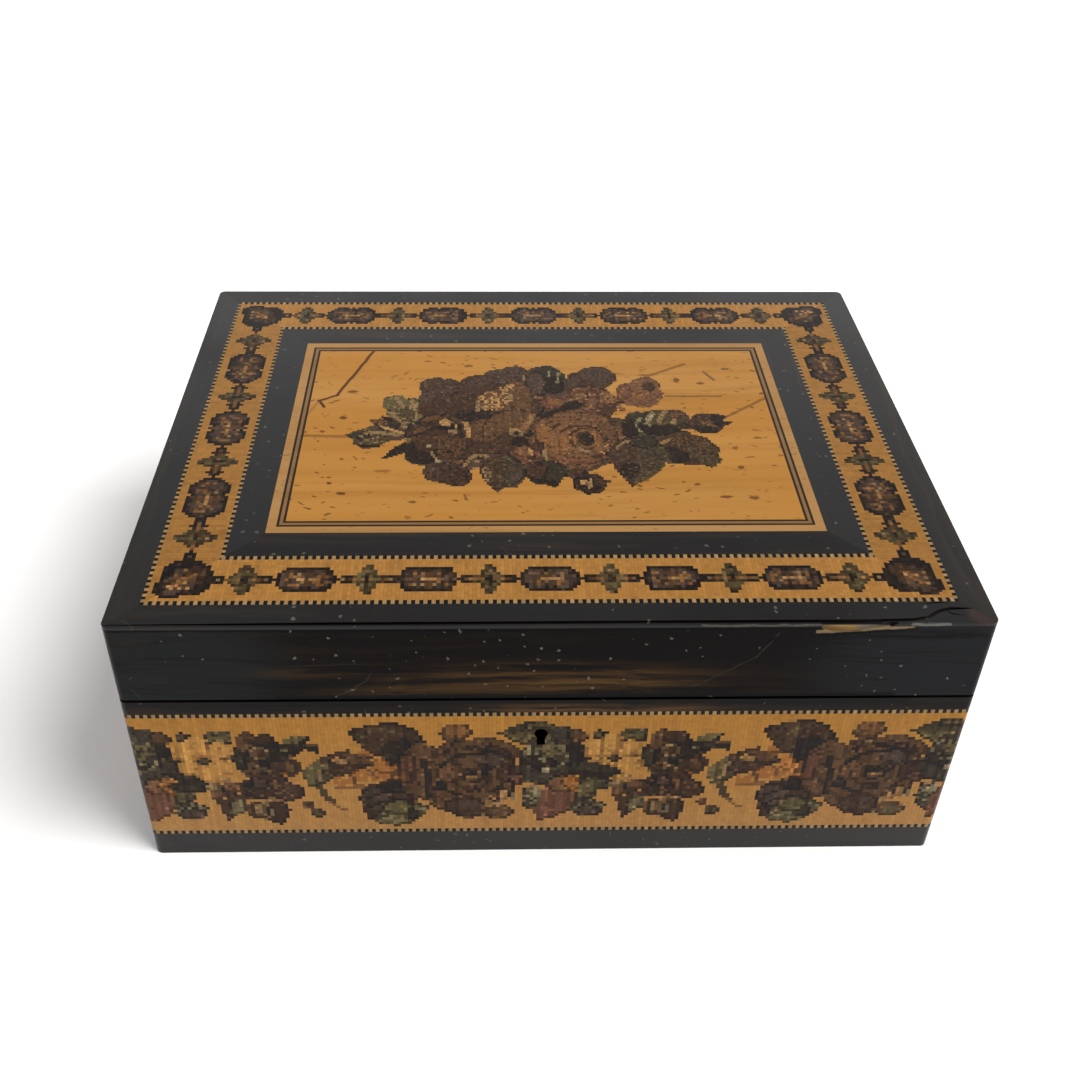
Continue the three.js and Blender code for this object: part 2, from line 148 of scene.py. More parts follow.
view = {
    "place": (-17.885, -322.043, 329.529),  # millimetres from the middle of the underside
    "yaw": -0.0268915,
    "pitch": 0.607276,
    "roll": 0.0140858,
    "focal": 1216.648,  # pixels in a frame of 1080
    "centreX": 512.865,
    "centreY": 405.8,
    "frame": 1080,
    "sensor": 36,
    "near": 0.01,
}


def makeCamera(v):
    camera = addPiece("camera", bpy.data.cameras.new("camera"))
    right = Vector((math.cos(v["yaw"]), math.sin(v["yaw"]), 0))
    ahead = Vector((-math.sin(v["yaw"]), math.cos(v["yaw"]), 0))
    up = Vector((0, 0, 1))
    forward = ahead * math.cos(v["pitch"]) - up * math.sin(v["pitch"])
    upward = up * math.cos(v["pitch"]) + ahead * math.sin(v["pitch"])
    level = right * math.cos(v["roll"]) + upward * math.sin(v["roll"])
    top = upward * math.cos(v["roll"]) - right * math.sin(v["roll"])
    turn = Matrix((level, top, -forward)).transposed().to_4x4()
    camera.matrix_world = Matrix.Translation(Vector(v["place"]) * mm) @ turn
    camera.data.sensor_width = v["sensor"]
    camera.data.lens = v["focal"] / v["frame"] * v["sensor"]
    camera.data.shift_x = 0.5 - v["centreX"] / v["frame"]
    camera.data.shift_y = v["centreY"] / v["frame"] - 0.5
    camera.data.clip_start = v["near"]
    bpy.context.scene.camera = camera


makeCamera(view)
print("camera placed")

# Floor and light

studio = {
    "floorSize": 8.0,
    "floorColour": (0.96, 0.96, 0.965, 1),
    "floorRoughness": 0.9,
    "floorSpecular": 0.1,
    "lowSky": 1.5,  # strength low down behind
    "sideSky": 0.8,  # strength low down in front and at the sides
    "sideEnd": 0.25,
    "highSky": 0.34,  # strength overhead
    "lowEnd": 0.5,  # sines of the heights between which the sky darkens
    "highStart": 0.68,
    "keyFrom": (0.62, -0.22, 0.86),
    "keyStrength": 3.3,
    "keySpread": 0.62,
    "keyColour": (1.0, 0.985, 0.96),
}


def makeStudio(s):
    scene = bpy.context.scene
    scene.view_settings.view_transform = "Standard"
    world = bpy.data.worlds.new("sky")
    world.use_nodes = True
    tree = world.node_tree
    height = axes(tree, shade(tree, "TexCoord").outputs["Generated"])
    low = remap(tree, height[1], s["sideEnd"], 1.0, s["sideSky"], s["lowSky"], smooth=False)
    sky = remap(tree, height[2], s["lowEnd"], s["highStart"], low, s["highSky"])
    tree.nodes["Background"].inputs["Color"].default_value = (1, 1, 1, 1)
    tree.links.new(sky, tree.nodes["Background"].inputs["Strength"])
    scene.world = world
    half = s["floorSize"] / 2
    corners = [(-half, -half, 0), (half, -half, 0), (half, half, 0), (-half, half, 0)]
    mesh = bpy.data.meshes.new("floor")
    mesh.from_pydata(corners, [], [(0, 1, 2, 3)])
    finish = bpy.data.materials.new("floorPaper")
    finish.use_nodes = True
    shader = finish.node_tree.nodes["Principled BSDF"]
    shader.inputs["Base Color"].default_value = s["floorColour"]
    shader.inputs["Roughness"].default_value = s["floorRoughness"]
    shader.inputs["Specular IOR Level"].default_value = s["floorSpecular"]
    mesh.materials.append(finish)
    addPiece("floor", mesh)
    light = bpy.data.lights.new("softKey", "SUN")
    light.energy = s["keyStrength"]
    light.angle = s["keySpread"]
    light.color = s["keyColour"]
    addPiece("softKey", light).rotation_euler = Vector(s["keyFrom"]).to_track_quat("Z", "Y").to_euler()


makeStudio(studio)
print("floor and light set")

# Shader groups that several finishes share

wearLook = {
    "cells": 200.0,  # places for a speck in a metre
    "crowdScale": 22.0,
    "crowd": (0.4, 0.64, 0.02, 0.8),
    "raggedScale": 900.0,
    "ragged": (0.3, 0.7, -0.06, 0.1),
    "sizes": (0.3, 1.5),
    "softness": 0.6,
    "scratchScale": 34.0,
    "scratchWidth": 0.005,
    "waver": (26.0, 0.02),
    "patchScale": 60.0,
    "patches": (0.58, 0.66),
    "hazeScale": 18.0,
}


def makeWearGroup(w):  # its vector runs along the face in x and y
    inputs = [("Vector", "Vector", None), ("Speck Size", "Float", 0.075), ("Specks", "Float", 1.0),
              ("Scratches", "Float", 1.0)]
    outputs = [("Specks", "Float"), ("Scratches", "Float"), ("Haze", "Float")]
    group, given, result = startTree("Shader", "waxWear", inputs, outputs)
    vector = given["Vector"]
    inputs = {"Vector": vector, "Scale": w["cells"]}
    cells = shade(group, "TexVoronoi", inputs, voronoi_dimensions="2D").outputs
    crowd = remap(group, noise(group, vector, w["crowdScale"]), *w["crowd"])
    rare = sums(group, "LESS_THAN", channel(group, cells["Color"], 0), crowd)
    rough = remap(group, noise(group, vector, w["raggedScale"]), *w["ragged"])
    away = sums(group, "ADD", cells["Distance"], rough)
    uneven = remap(group, channel(group, cells["Color"], 2), 0.0, 1.0, *w["sizes"], smooth=False)
    core = times(group, given["Speck Size"], times(group, uneven, w["softness"]))
    near = remap(group, away, core, times(group, given["Speck Size"], uneven), 1.0, 0.0)
    inputs = {"Vector": wavered(group, vector, *w["waver"]), "Scale": w["scratchScale"]}
    lines = shade(group, "TexVoronoi", inputs,
                  feature="DISTANCE_TO_EDGE", voronoi_dimensions="2D").outputs["Distance"]
    thin = sums(group, "LESS_THAN", lines, w["scratchWidth"])
    patchy = remap(group, noise(group, vector, w["patchScale"]), *w["patches"])
    group.links.new(times(group, rare, near, given["Specks"]), result["Specks"])
    group.links.new(times(group, thin, patchy, given["Scratches"]), result["Scratches"])
    group.links.new(noise(group, vector, w["hazeScale"], 4.0), result["Haze"])
    return group


def makePatchGroup():
    inputs = [("Vector", "Vector", None), ("Centre", "Vector", (0, 0, 0)), ("Reach", "Vector", (1, 1, 1)),
              ("Soft", "Float", 0.5)]
    group, given, result = startTree("Shader", "softPatch", inputs, [("Mask", "Float")])
    away = vectors(group, "SUBTRACT", given["Vector"], given["Centre"])
    far = vectors(group, "LENGTH", vectors(group, "DIVIDE", away, given["Reach"]))
    start = sums(group, "SUBTRACT", 1.0, given["Soft"])
    group.links.new(remap(group, far, start, 1.0, 1.0, 0.0), result["Mask"])
    return group


lineLook = {"shiverScale": 260.0, "core": 0.3}


def makeLineGroup(look):
    inputs = [("Vector", "Vector", None), ("Start", "Vector", (0, 0, 0)), ("End", "Vector", (0, 0, 0)),
              ("Width", "Float", 0.0005), ("Ragged", "Float", 0.0004)]
    group, given, result = startTree("Shader", "crackAndShadeLine", inputs, [("Line", "Float")])
    clouds = noise(group, given["Vector"], look["shiverScale"], output="Color")
    shiver = vectors(group, "SCALE", vectors(group, "SUBTRACT", clouds, (0.5, 0.5, 0.5)), given["Ragged"])
    point = vectors(group, "ADD", given["Vector"], shiver)
    toEnd = vectors(group, "SUBTRACT", given["End"], given["Start"])
    toPoint = vectors(group, "SUBTRACT", point, given["Start"])
    shadow = vectors(group, "DOT_PRODUCT", toPoint, toEnd)
    share = sums(group, "DIVIDE", shadow, vectors(group, "DOT_PRODUCT", toEnd, toEnd), clamp=True)
    gap = vectors(group, "DISTANCE", toPoint, vectors(group, "SCALE", toEnd, share))
    line = remap(group, gap, times(group, given["Width"], look["core"]), given["Width"], 1.0, 0.0)
    group.links.new(line, result["Line"])
    return group


def makeJointGroup():
    inputs = [("Map", "Vector", None), ("Joint", "Float", 0.08), ("Columns", "Float", 1.0),
              ("Rows", "Float", 0.5)]
    outputs = [("Joint", "Float"), ("Streak", "Float")]
    group, given, result = startTree("Shader", "stickJoints", inputs, outputs)
    parts = axes(group, given["Map"])
    lines = []
    for axis, weight in ((0, "Columns"), (1, "Rows")):
        fromMiddle = sums(group, "SUBTRACT", sums(group, "FRACT", parts[axis]), 0.5)
        start = sums(group, "SUBTRACT", 0.5, given["Joint"])
        edge = remap(group, sums(group, "ABSOLUTE", fromMiddle), start, 0.5)
        lines.append(times(group, edge, given[weight]))
    group.links.new(sums(group, "MAXIMUM", *lines), result["Joint"])
    column = shade(group, "TexWhiteNoise", {"W": sums(group, "FLOOR", parts[0])}, noise_dimensions="1D")
    group.links.new(column.outputs["Value"], result["Streak"])
    return group


grainLook = {
    "drift": (9.0, 0.016),
    "wide": (5.0, 75.0, 75.0),  # noise cells in a metre, along the grain and across it
    "middle": (8.0, 300.0, 300.0),
    "narrow": (24.0, 900.0, 900.0),
    "pores": (0.6, 0.72),
}


def makeGrainGroup(look):  # its vector runs along the grain in x
    inputs = [("Vector", "Vector", None), ("Pores", "Float", 0.5)]
    outputs = [("Figure", "Float"), ("Streaks", "Float"), ("Pores", "Float"), ("Fine", "Float")]
    group, given, result = startTree("Shader", "woodGrain", inputs, outputs)
    point = wavered(group, given["Vector"], *look["drift"])
    wide, middle, narrow = (scaled(group, point, look[key]) for key in ("wide", "middle", "narrow"))
    dots = remap(group, noise(group, narrow, 1.0, 2.0, 0.5), *look["pores"])
    group.links.new(noise(group, wide, 1.0, 5.0, 0.6), result["Figure"])
    group.links.new(noise(group, middle, 1.0, 4.0, 0.6), result["Streaks"])
    group.links.new(times(group, dots, given["Pores"]), result["Pores"])
    group.links.new(noise(group, narrow, 1.6, 3.0, 0.6), result["Fine"])
    return group


wearGroup = makeWearGroup(wearLook)
patchGroup = makePatchGroup()
lineGroup = makeLineGroup(lineLook)
jointGroup = makeJointGroup()
grainGroup = makeGrainGroup(grainLook)
print("shader groups built")


# Finishes


def startFinish(name, roughness, **constants):
    finish = bpy.data.materials.new(name)
    finish.use_nodes = True
    tree = finish.node_tree
    shader = tree.nodes["Principled BSDF"]
    shader.inputs["Roughness"].default_value = roughness
    for key, value in constants.items():
        shader.inputs[key.replace("_", " ")].default_value = value
    return finish, tree, shader


def directions(tree, grain, upright):  # the point, the same along the grain, and the same along the face
    coords = shade(tree, "TexCoord").outputs["Object"]
    along = scaled(tree, coords, (1, 1, 1), math.pi / 2 if grain == "Y" else 0)
    if not upright:
        return coords, along, coords
    parts = axes(tree, coords)
    face = shade(tree, "CombineXYZ", {"X": sums(tree, "ADD", parts[0], parts[1]), "Y": parts[2]}).outputs[0]
    return coords, along, face


def connect(tree, shader, colour, roughness, height, strength, distance):
    tree.links.new(colour, shader.inputs["Base Color"])
    tree.links.new(roughness, shader.inputs["Roughness"])
    bump = shade(tree, "Bump", {"Height": height, "Strength": strength, "Distance": distance})
    tree.links.new(bump.outputs[0], shader.inputs["Normal"])


def patch(tree, vector, centre, reach, soft):
    inputs = {"Vector": vector, "Centre": centre, "Reach": reach, "Soft": soft}
    return placeGroup(tree, patchGroup, inputs)["Mask"]


def lineOver(tree, coords, colour, height, lines, ragged):  # scratches and cracks, and black lines of painted shade in gaps and under edges, laid over a finish
    for start, end, width, depth, tone in lines:
        inputs = {"Vector": coords, "Start": start, "End": end, "Width": width, "Ragged": ragged}
        line = placeGroup(tree, lineGroup, inputs)["Line"]
        colour = tint(tree, colour, line, depth, tone)
        height = sums(tree, "SUBTRACT", height, times(tree, line, 2 * depth))
    return colour, height


def boreOver(tree, coords, colour, boreShade):  # painted shade: the keyhole's bore is painted black inside, where shade falls
    centre, reach, behind = boreShade
    hidden = sums(tree, "LESS_THAN", axes(tree, coords)[1], behind)
    mask = times(tree, patch(tree, coords, centre, reach, 0.2), hidden)
    return blend(tree, mask, colour, (0.001, 0.001, 0.001, 1))


coromandel = {
    "black": (32, 27, 22),
    "brown": (60, 49, 35),
    "flame": (104, 77, 47),
    "speck": (112, 108, 98),
    "scratch": (92, 84, 74),
    "deepest": (14, 13, 12),
    "roughness": 0.36,
    "pores": 0.6,
    "speckSize": 0.09,
    "figureBand": (0.4, 0.66),
    "streakBand": (0.42, 0.66),
    "flameBand": (0.38, 0.64),
    "wornAndSheenBand": (0.3, 0.5),
    "ragged": 0.0012,
    "bump": (0.12, 0.0002),
}


def coromandelFinish(name, grain="X", upright=True, flames=(), wornAndSheen=(), cracks=(), figure=0.7, specks=0.6,
                     specular=0.09, bare=None):
    look = coromandel
    finish, tree, shader = startFinish(name, look["roughness"], Specular_IOR_Level=specular)
    coords, vector, face = directions(tree, grain, upright)
    wood = placeGroup(tree, grainGroup, {"Vector": vector, "Pores": look["pores"]})
    inputs = {"Vector": face, "Speck Size": look["speckSize"], "Specks": specks, "Scratches": 0.5}
    wear = placeGroup(tree, wearGroup, inputs)
    streak = times(tree, remap(tree, wood["Figure"], *look["figureBand"]),
                   remap(tree, wood["Streaks"], *look["streakBand"]))
    colour = tint(tree, linear(look["black"]), streak, figure, look["brown"])
    for centre, reach, strength in flames:
        tongues = times(tree, patch(tree, coords, centre, reach, 0.9),
                        remap(tree, wood["Streaks"], *look["flameBand"]))
        colour = tint(tree, colour, tongues, strength, look["flame"])
    # worn patches and bare wood, and patches of painted reflection
    for centre, reach, tone in wornAndSheen:
        mask = patch(tree, coords, centre, reach, 0.45)
        colour = tint(tree, colour, mask, remap(tree, wood["Streaks"], *look["wornAndSheenBand"]), tone)
    colour = tint(tree, colour, wood["Fine"], 0.4, look["deepest"])
    height = sums(tree, "SUBTRACT", wood["Fine"], wear["Scratches"])
    # the lines are cracks, and black lines of painted shade in gaps and under edges
    colour, height = lineOver(tree, coords, colour, height, cracks, look["ragged"])
    colour = tint(tree, colour, wear["Specks"], 0.75, look["speck"])
    colour = tint(tree, colour, wear["Scratches"], 0.5, look["scratch"])
    if bare:
        colour = bareWoodOver(tree, coords, colour, bare)
    rough = remap(tree, wear["Haze"], 0.3, 0.7, look["roughness"] - 0.06, look["roughness"] + 0.1)
    connect(tree, shader, colour, rough, height, *look["bump"])
    return finish


chip = {
    "front": -0.0897,  # y at which the chip starts and at which it is at full depth
    "floor": -0.0893,
    "behind": -0.0885,
    "above": 0.09,
    "tanEnd": 0.080,
    "greyStart": 0.084,
    "tan": (156, 124, 82),
    "grey": (124, 112, 100),
    "broken": (66, 54, 44),
    "brokenScale": (150, 900, 900),
    "brokenBand": (0.45, 0.62, 0.0, 0.5),
}


def bareWoodOver(tree, coords, colour, c):
    parts = axes(tree, coords)
    bare = remap(tree, parts[1], c["front"], c["floor"])
    bare = times(tree, bare, sums(tree, "GREATER_THAN", parts[2], c["above"]))
    bare = times(tree, bare, sums(tree, "LESS_THAN", parts[1], c["behind"]))
    raw = remap(tree, parts[0], c["tanEnd"], c["greyStart"])
    raw = blend(tree, raw, linear(c["tan"]), linear(c["grey"]))
    broken = noise(tree, scaled(tree, coords, c["brokenScale"]), 1.0)
    raw = blend(tree, remap(tree, broken, *c["brokenBand"]), raw, linear(c["broken"]))
    return blend(tree, bare, colour, raw)


mosaicLook = {
    "joint": (62, 44, 26),
    "jointWidth": 0.1,
    "columnJoint": 0.28,
    "rowJoint": 0.1,
    "streak": 0.05,
    "dirt": (70, 48, 28),
    "dirtScale": 90.0,
    "dirtBand": (0.56, 0.78),
    "scratch": (84, 60, 38),
    "roughness": (0.36, 0.5),
    "bump": (0.25, 0.0002),
}


def mosaicFinish(name, upright=False, joint=1.0, grime=0.35):
    look = mosaicLook
    finish, tree, shader = startFinish(name, 0.42, Specular_IOR_Level=0.11)
    coords, _, face = directions(tree, "X", upright)
    sticks = shade(tree, "Attribute", attribute_name="sticks").outputs["Color"]
    inputs = {"Map": shade(tree, "UVMap", uv_map="stickMap").outputs[0], "Joint": look["jointWidth"],
              "Columns": look["columnJoint"] * joint, "Rows": look["rowJoint"] * joint}
    lines = placeGroup(tree, jointGroup, inputs)
    wear = placeGroup(tree, wearGroup, {"Vector": face, "Specks": 0.5, "Scratches": 0.5})
    tone = remap(tree, lines["Streak"], 0.0, 1.0, 1 - look["streak"], 1 + look["streak"], smooth=False)
    colour = blend(tree, lines["Joint"], vectors(tree, "SCALE", sticks, tone), linear(look["joint"]))
    dirt = remap(tree, noise(tree, coords, look["dirtScale"], 4.0, 0.7), *look["dirtBand"])
    colour = tint(tree, colour, dirt, grime, look["dirt"])
    colour = tint(tree, colour, wear["Scratches"], 0.4, look["scratch"])
    rough = remap(tree, wear["Haze"], 0.3, 0.7, *look["roughness"])
    connect(tree, shader, colour, rough, sums(tree, "SUBTRACT", 1.0, lines["Joint"]), *look["bump"])
    return finish


plainWood = {
    "figureBand": (0.35, 0.7),
    "streakBand": (0.45, 0.7),
    "streaks": 0.35,
    "shade": 0.8,  # the streaks and the pores, against the dark tone
    "pore": 0.6,
    "cloudCells": (9, 22, 22),
    "cloudBand": (0.38, 0.62),
    "cloudTone": (0.98, 0.93, 0.76),
    "speck": (104, 70, 40),
    "nick": (104, 68, 36),
    "dent": (96, 60, 32),
    "nicks": (  # turn, cells in a metre, share of the cells, size
        (0.12, (190, 460, 1), 0.11, 0.21),
        (-0.6, (220, 560, 1), 0.08, 0.2),
        (0.9, (240, 600, 1), 0.07, 0.2),
    ),
    "nickWaver": (40.0, 0.02),
    "dentWaver": (700.0, 0.0016),
    "dentHeight": 0.0978,
    "ragged": 0.001,
    "bump": (0.2, 0.0003),
}


def nicksOver(tree, face, colour, height, strength):  # short dents and dark nicks, in crowds
    look = plainWood
    swayed = wavered(tree, face, *look["nickWaver"])
    for turn, scale, share, size in look["nicks"]:
        cells = shade(tree, "TexVoronoi", {"Vector": scaled(tree, swayed, scale, turn), "Scale": 1.0},
                      voronoi_dimensions="2D").outputs
        some = sums(tree, "LESS_THAN", channel(tree, cells["Color"], 1), share)
        nick = times(tree, some, remap(tree, cells["Distance"], size * 0.75, size, 1.0, 0.0),
                     remap(tree, noise(tree, face, 24.0), 0.36, 0.6, 0.2, 1.0))
        colour = tint(tree, colour, nick, strength, look["nick"])
        height = sums(tree, "SUBTRACT", height, nick)
    return colour, height


def dentsOver(tree, coords, colour, height, dents):
    shaken = wavered(tree, coords, *plainWood["dentWaver"])
    back = plainWood["dentWaver"][1] / 2  # takes back what the noise adds on average
    for (x, y), (reachX, reachY), strength in dents:
        spot = (x + back, y + back, plainWood["dentHeight"])
        dent = patch(tree, shaken, spot, (reachX, reachY, 0.01), 0.4)
        colour = tint(tree, colour, dent, strength, plainWood["dent"])
        height = sums(tree, "SUBTRACT", height, dent)
    return colour, height


def plainWoodFinish(name, light, dark, grain="X", roughness=0.42, pores=0.4, contrast=0.6, cracks=(),
                    marks=0.0, specular=0.14, boreShade=None, dents=(), golden=0.0):
    look = plainWood
    finish, tree, shader = startFinish(name, roughness, Specular_IOR_Level=specular)
    coords, vector, face = directions(tree, grain, False)
    wood = placeGroup(tree, grainGroup, {"Vector": vector, "Pores": pores})
    wear = placeGroup(tree, wearGroup, {"Vector": face, "Specks": 0.7, "Scratches": 0.3})
    colour = tint(tree, linear(light), remap(tree, wood["Figure"], *look["figureBand"]), contrast, dark)
    streaks = remap(tree, wood["Streaks"], *look["streakBand"])
    colour = tint(tree, colour, streaks, look["streaks"] * contrast, [c * look["shade"] for c in dark])
    colour = tint(tree, colour, wood["Pores"], 0.5, [c * look["pore"] for c in dark])
    height = times(tree, wood["Fine"], 0.3)
    if golden:  # broad clouds of a warmer tone
        clouds = noise(tree, scaled(tree, coords, look["cloudCells"]), 1.0, 3.0)
        warm = [c * share for c, share in zip(light, look["cloudTone"])]
        colour = blend(tree, remap(tree, clouds, *look["cloudBand"], 0.0, golden), colour, linear(warm))
    if marks:
        colour, height = nicksOver(tree, face, colour, height, marks)
    if dents:
        colour, height = dentsOver(tree, coords, colour, height, dents)
    colour, height = lineOver(tree, coords, colour, height, cracks, look["ragged"])
    colour = tint(tree, colour, wear["Specks"], 0.6, look["speck"])
    if boreShade:
        colour = boreOver(tree, coords, colour, boreShade)
    rough = remap(tree, wear["Haze"], 0.3, 0.7, roughness - 0.06, roughness + 0.08)
    connect(tree, shader, colour, rough, height, *look["bump"])
    return finish


brassLook = {
    "tone": (166, 128, 66),
    "stain": (88, 66, 38),
    "roughness": 0.34,
    "stainScale": 140.0,
    "stainBand": (0.42, 0.72),
    "grainScale": 900.0,
    "bump": (0.08, 0.0002),
}


def brassFinish(name, boreShade=None):
    look = brassLook
    finish, tree, shader = startFinish(name, look["roughness"], Metallic=1.0)
    coords = shade(tree, "TexCoord").outputs["Object"]
    wear = placeGroup(tree, wearGroup, {"Vector": coords, "Specks": 0.4, "Scratches": 1.0})
    cloud = remap(tree, noise(tree, coords, look["stainScale"], 4.0, 0.65), *look["stainBand"])
    colour = blend(tree, cloud, linear(look["tone"]), linear(look["stain"]))
    if boreShade:
        colour = boreOver(tree, coords, colour, boreShade)
    dull = remap(tree, cloud, 0.0, 1.0, look["roughness"], look["roughness"] + 0.2)
    rough = sums(tree, "ADD", dull, times(tree, wear["Scratches"], 0.2))
    connect(tree, shader, colour, rough, noise(tree, coords, look["grainScale"], 2.0), *look["bump"])
    return finish

# The mosaic: coloured woods, and the forms that its sticks are laid out in, in millimetres

woods = {
    "field": (178, 126, 66),
    "boxwood": (168, 127, 80),
    "holly": (150, 134, 102),
    "birch": (134, 108, 74),
    "barberry": (187, 136, 72),
    "amber": (170, 118, 66),
    "orangewood": (160, 104, 54),
    "yew": (128, 88, 54),
    "cherry": (110, 78, 54),
    "plum": (98, 66, 50),
    "walnut": (92, 67, 46),
    "lilac": (76, 61, 51),
    "rosewood": (69, 51, 39),
    "bogoak": (46, 38, 32),
    "ebony": (34, 29, 26),
    "greenoak": (97, 85, 56),
    "moss": (75, 63, 44),
    "slate": (58, 51, 41),
    "sage": (120, 108, 78),
}


def spot(x, y, rx, ry, wood, angle=0, share=1.0):  # share: how many of its sticks are laid
    return dict(paint=paintSpot, x=x, y=y, rx=rx, ry=ry, wood=wood, angle=angle, share=share)


def stroke(x, y, toX, toY, width, wood, bend=0.0):
    return dict(paint=paintStroke, x=x, y=y, toX=toX, toY=toY, width=width, wood=wood, bend=bend)


def ring(x, y, rx, ry, width, wood, start=0, sweep=360):  # part of an oval line, as the edge of a petal
    return dict(paint=paintRing, x=x, y=y, rx=rx, ry=ry, width=width, wood=wood, start=start, sweep=sweep)


def leaf(x, y, length, width, angle, wood, vein=None, under=None, pitch=3.2):
    return dict(paint=paintLeaf, x=x, y=y, length=length, width=width, angle=angle, wood=wood, vein=vein,
                under=under, pitch=pitch)


def rose(x, y, radius, petals, dark, wood, light, rows=3, turn=0.0, flat=1.0):
    return dict(paint=paintRose, x=x, y=y, radius=radius, petals=petals, dark=dark, wood=wood, light=light,
                rows=rows, turn=turn, flat=flat)


def lay(colour, inside, wood):
    colour[inside] = np.array(woods[wood], float)


def onAxis(dx, dy, angle):  # along an axis at this angle, and across it
    turn = math.radians(angle)
    return dx * math.cos(turn) + dy * math.sin(turn), dy * math.cos(turn) - dx * math.sin(turn)


# Each of these lays a form's sticks and gives those that count as its body, which gets darker rims


def paintSpot(form, dx, dy, colour, chance):
    along, across = onAxis(dx, dy, form["angle"])
    inside = ((along / form["rx"]) ** 2 + (across / form["ry"]) ** 2 < 1) & (chance < form["share"])
    lay(colour, inside, form["wood"])
    return inside & (form["share"] == 1)


def paintStroke(form, dx, dy, colour, chance):
    ex, ey = form["toX"] - form["x"], form["toY"] - form["y"]
    length = math.hypot(ex, ey)
    t = (dx * ex + dy * ey) / length ** 2
    off = (dy * ex - dx * ey) / length - form["bend"] * 4 * t * (1 - t)
    inside = (t > -0.05) & (t < 1.05) & (abs(off) < form["width"] / 2)
    lay(colour, inside, form["wood"])
    return inside & (form["width"] > 3)


def paintRing(form, dx, dy, colour, chance):
    across, up = dx / form["rx"], dy / form["ry"]
    share = (np.degrees(np.arctan2(up, across)) - form["start"]) % 360 / form["sweep"]
    half = form["width"] / 2 * (0.4 + 0.6 * np.sin(math.pi * np.clip(share, 0, 1)))
    inside = (abs(np.hypot(across, up) - 1) * min(form["rx"], form["ry"]) < half) & (share <= 1)
    lay(colour, inside, form["wood"])
    return np.zeros(dx.shape, bool)


def paintLeaf(form, dx, dy, colour, chance):
    along, across = onAxis(dx, dy, form["angle"])
    t = np.clip(along / form["length"], 0, 1)
    half = form["width"] / 2 * np.sin(math.pi * t ** 0.85) + 0.5 * (1 - t)
    inside = (along >= 0) & (along <= form["length"]) & (abs(across) <= half)
    lay(colour, inside, form["wood"])
    if form["under"]:
        lay(colour, inside & (across < -0.1 * half), form["under"])
    if form["vein"]:
        rib = (abs(across) < 0.6) & (t < 0.85)
        side = (((along - 1.2 * abs(across)) / form["pitch"]) % 1 < 0.3) & (abs(across) > 0.9)
        lay(colour, inside & (rib | (side & (abs(across) < half * 0.85))), form["vein"])
    return inside


def paintRose(form, dx, dy, colour, chance):  # petals, laid from the outer row to the heart
    dy = dy / form["flat"]
    inside = np.hypot(dx, dy) < 0.9 * form["radius"]
    lay(colour, inside, form["wood"])
    for row in range(form["rows"]):
        share = 1 - row / form["rows"]
        count = max(3, round(form["petals"] * (0.5 + 0.5 * share)))
        size, reach = form["radius"] * (0.18 + 0.24 * share), form["radius"] * (0.62 * share - 0.04)
        for k in range(count):
            angle = math.radians(form["turn"]) + (k + 0.5 * (row % 2)) * math.tau / count
            px, py = dx - reach * math.cos(angle), dy - reach * math.sin(angle)
            t = np.hypot(px, py) / size
            outward = px * math.cos(angle) + py * math.sin(angle) > -0.2 * size
            inner, outer = ("wood", "light") if k % 2 else ("light", "wood")
            lay(colour, t < 1, form["dark"])
            lay(colour, t < 0.84, form[inner])
            lay(colour, (t < 0.84) & (t > 0.5) & outward, form[outer])
            inside |= t < 1
    return inside


def paint(forms, x, y, colour, chance, owner, shift):
    order = list(woods)
    for form in forms.values():
        inside = form["paint"](form, x - form["x"] - shift, y - form["y"], colour, chance)
        owner[inside] = 1 + order.index(form["wood"])


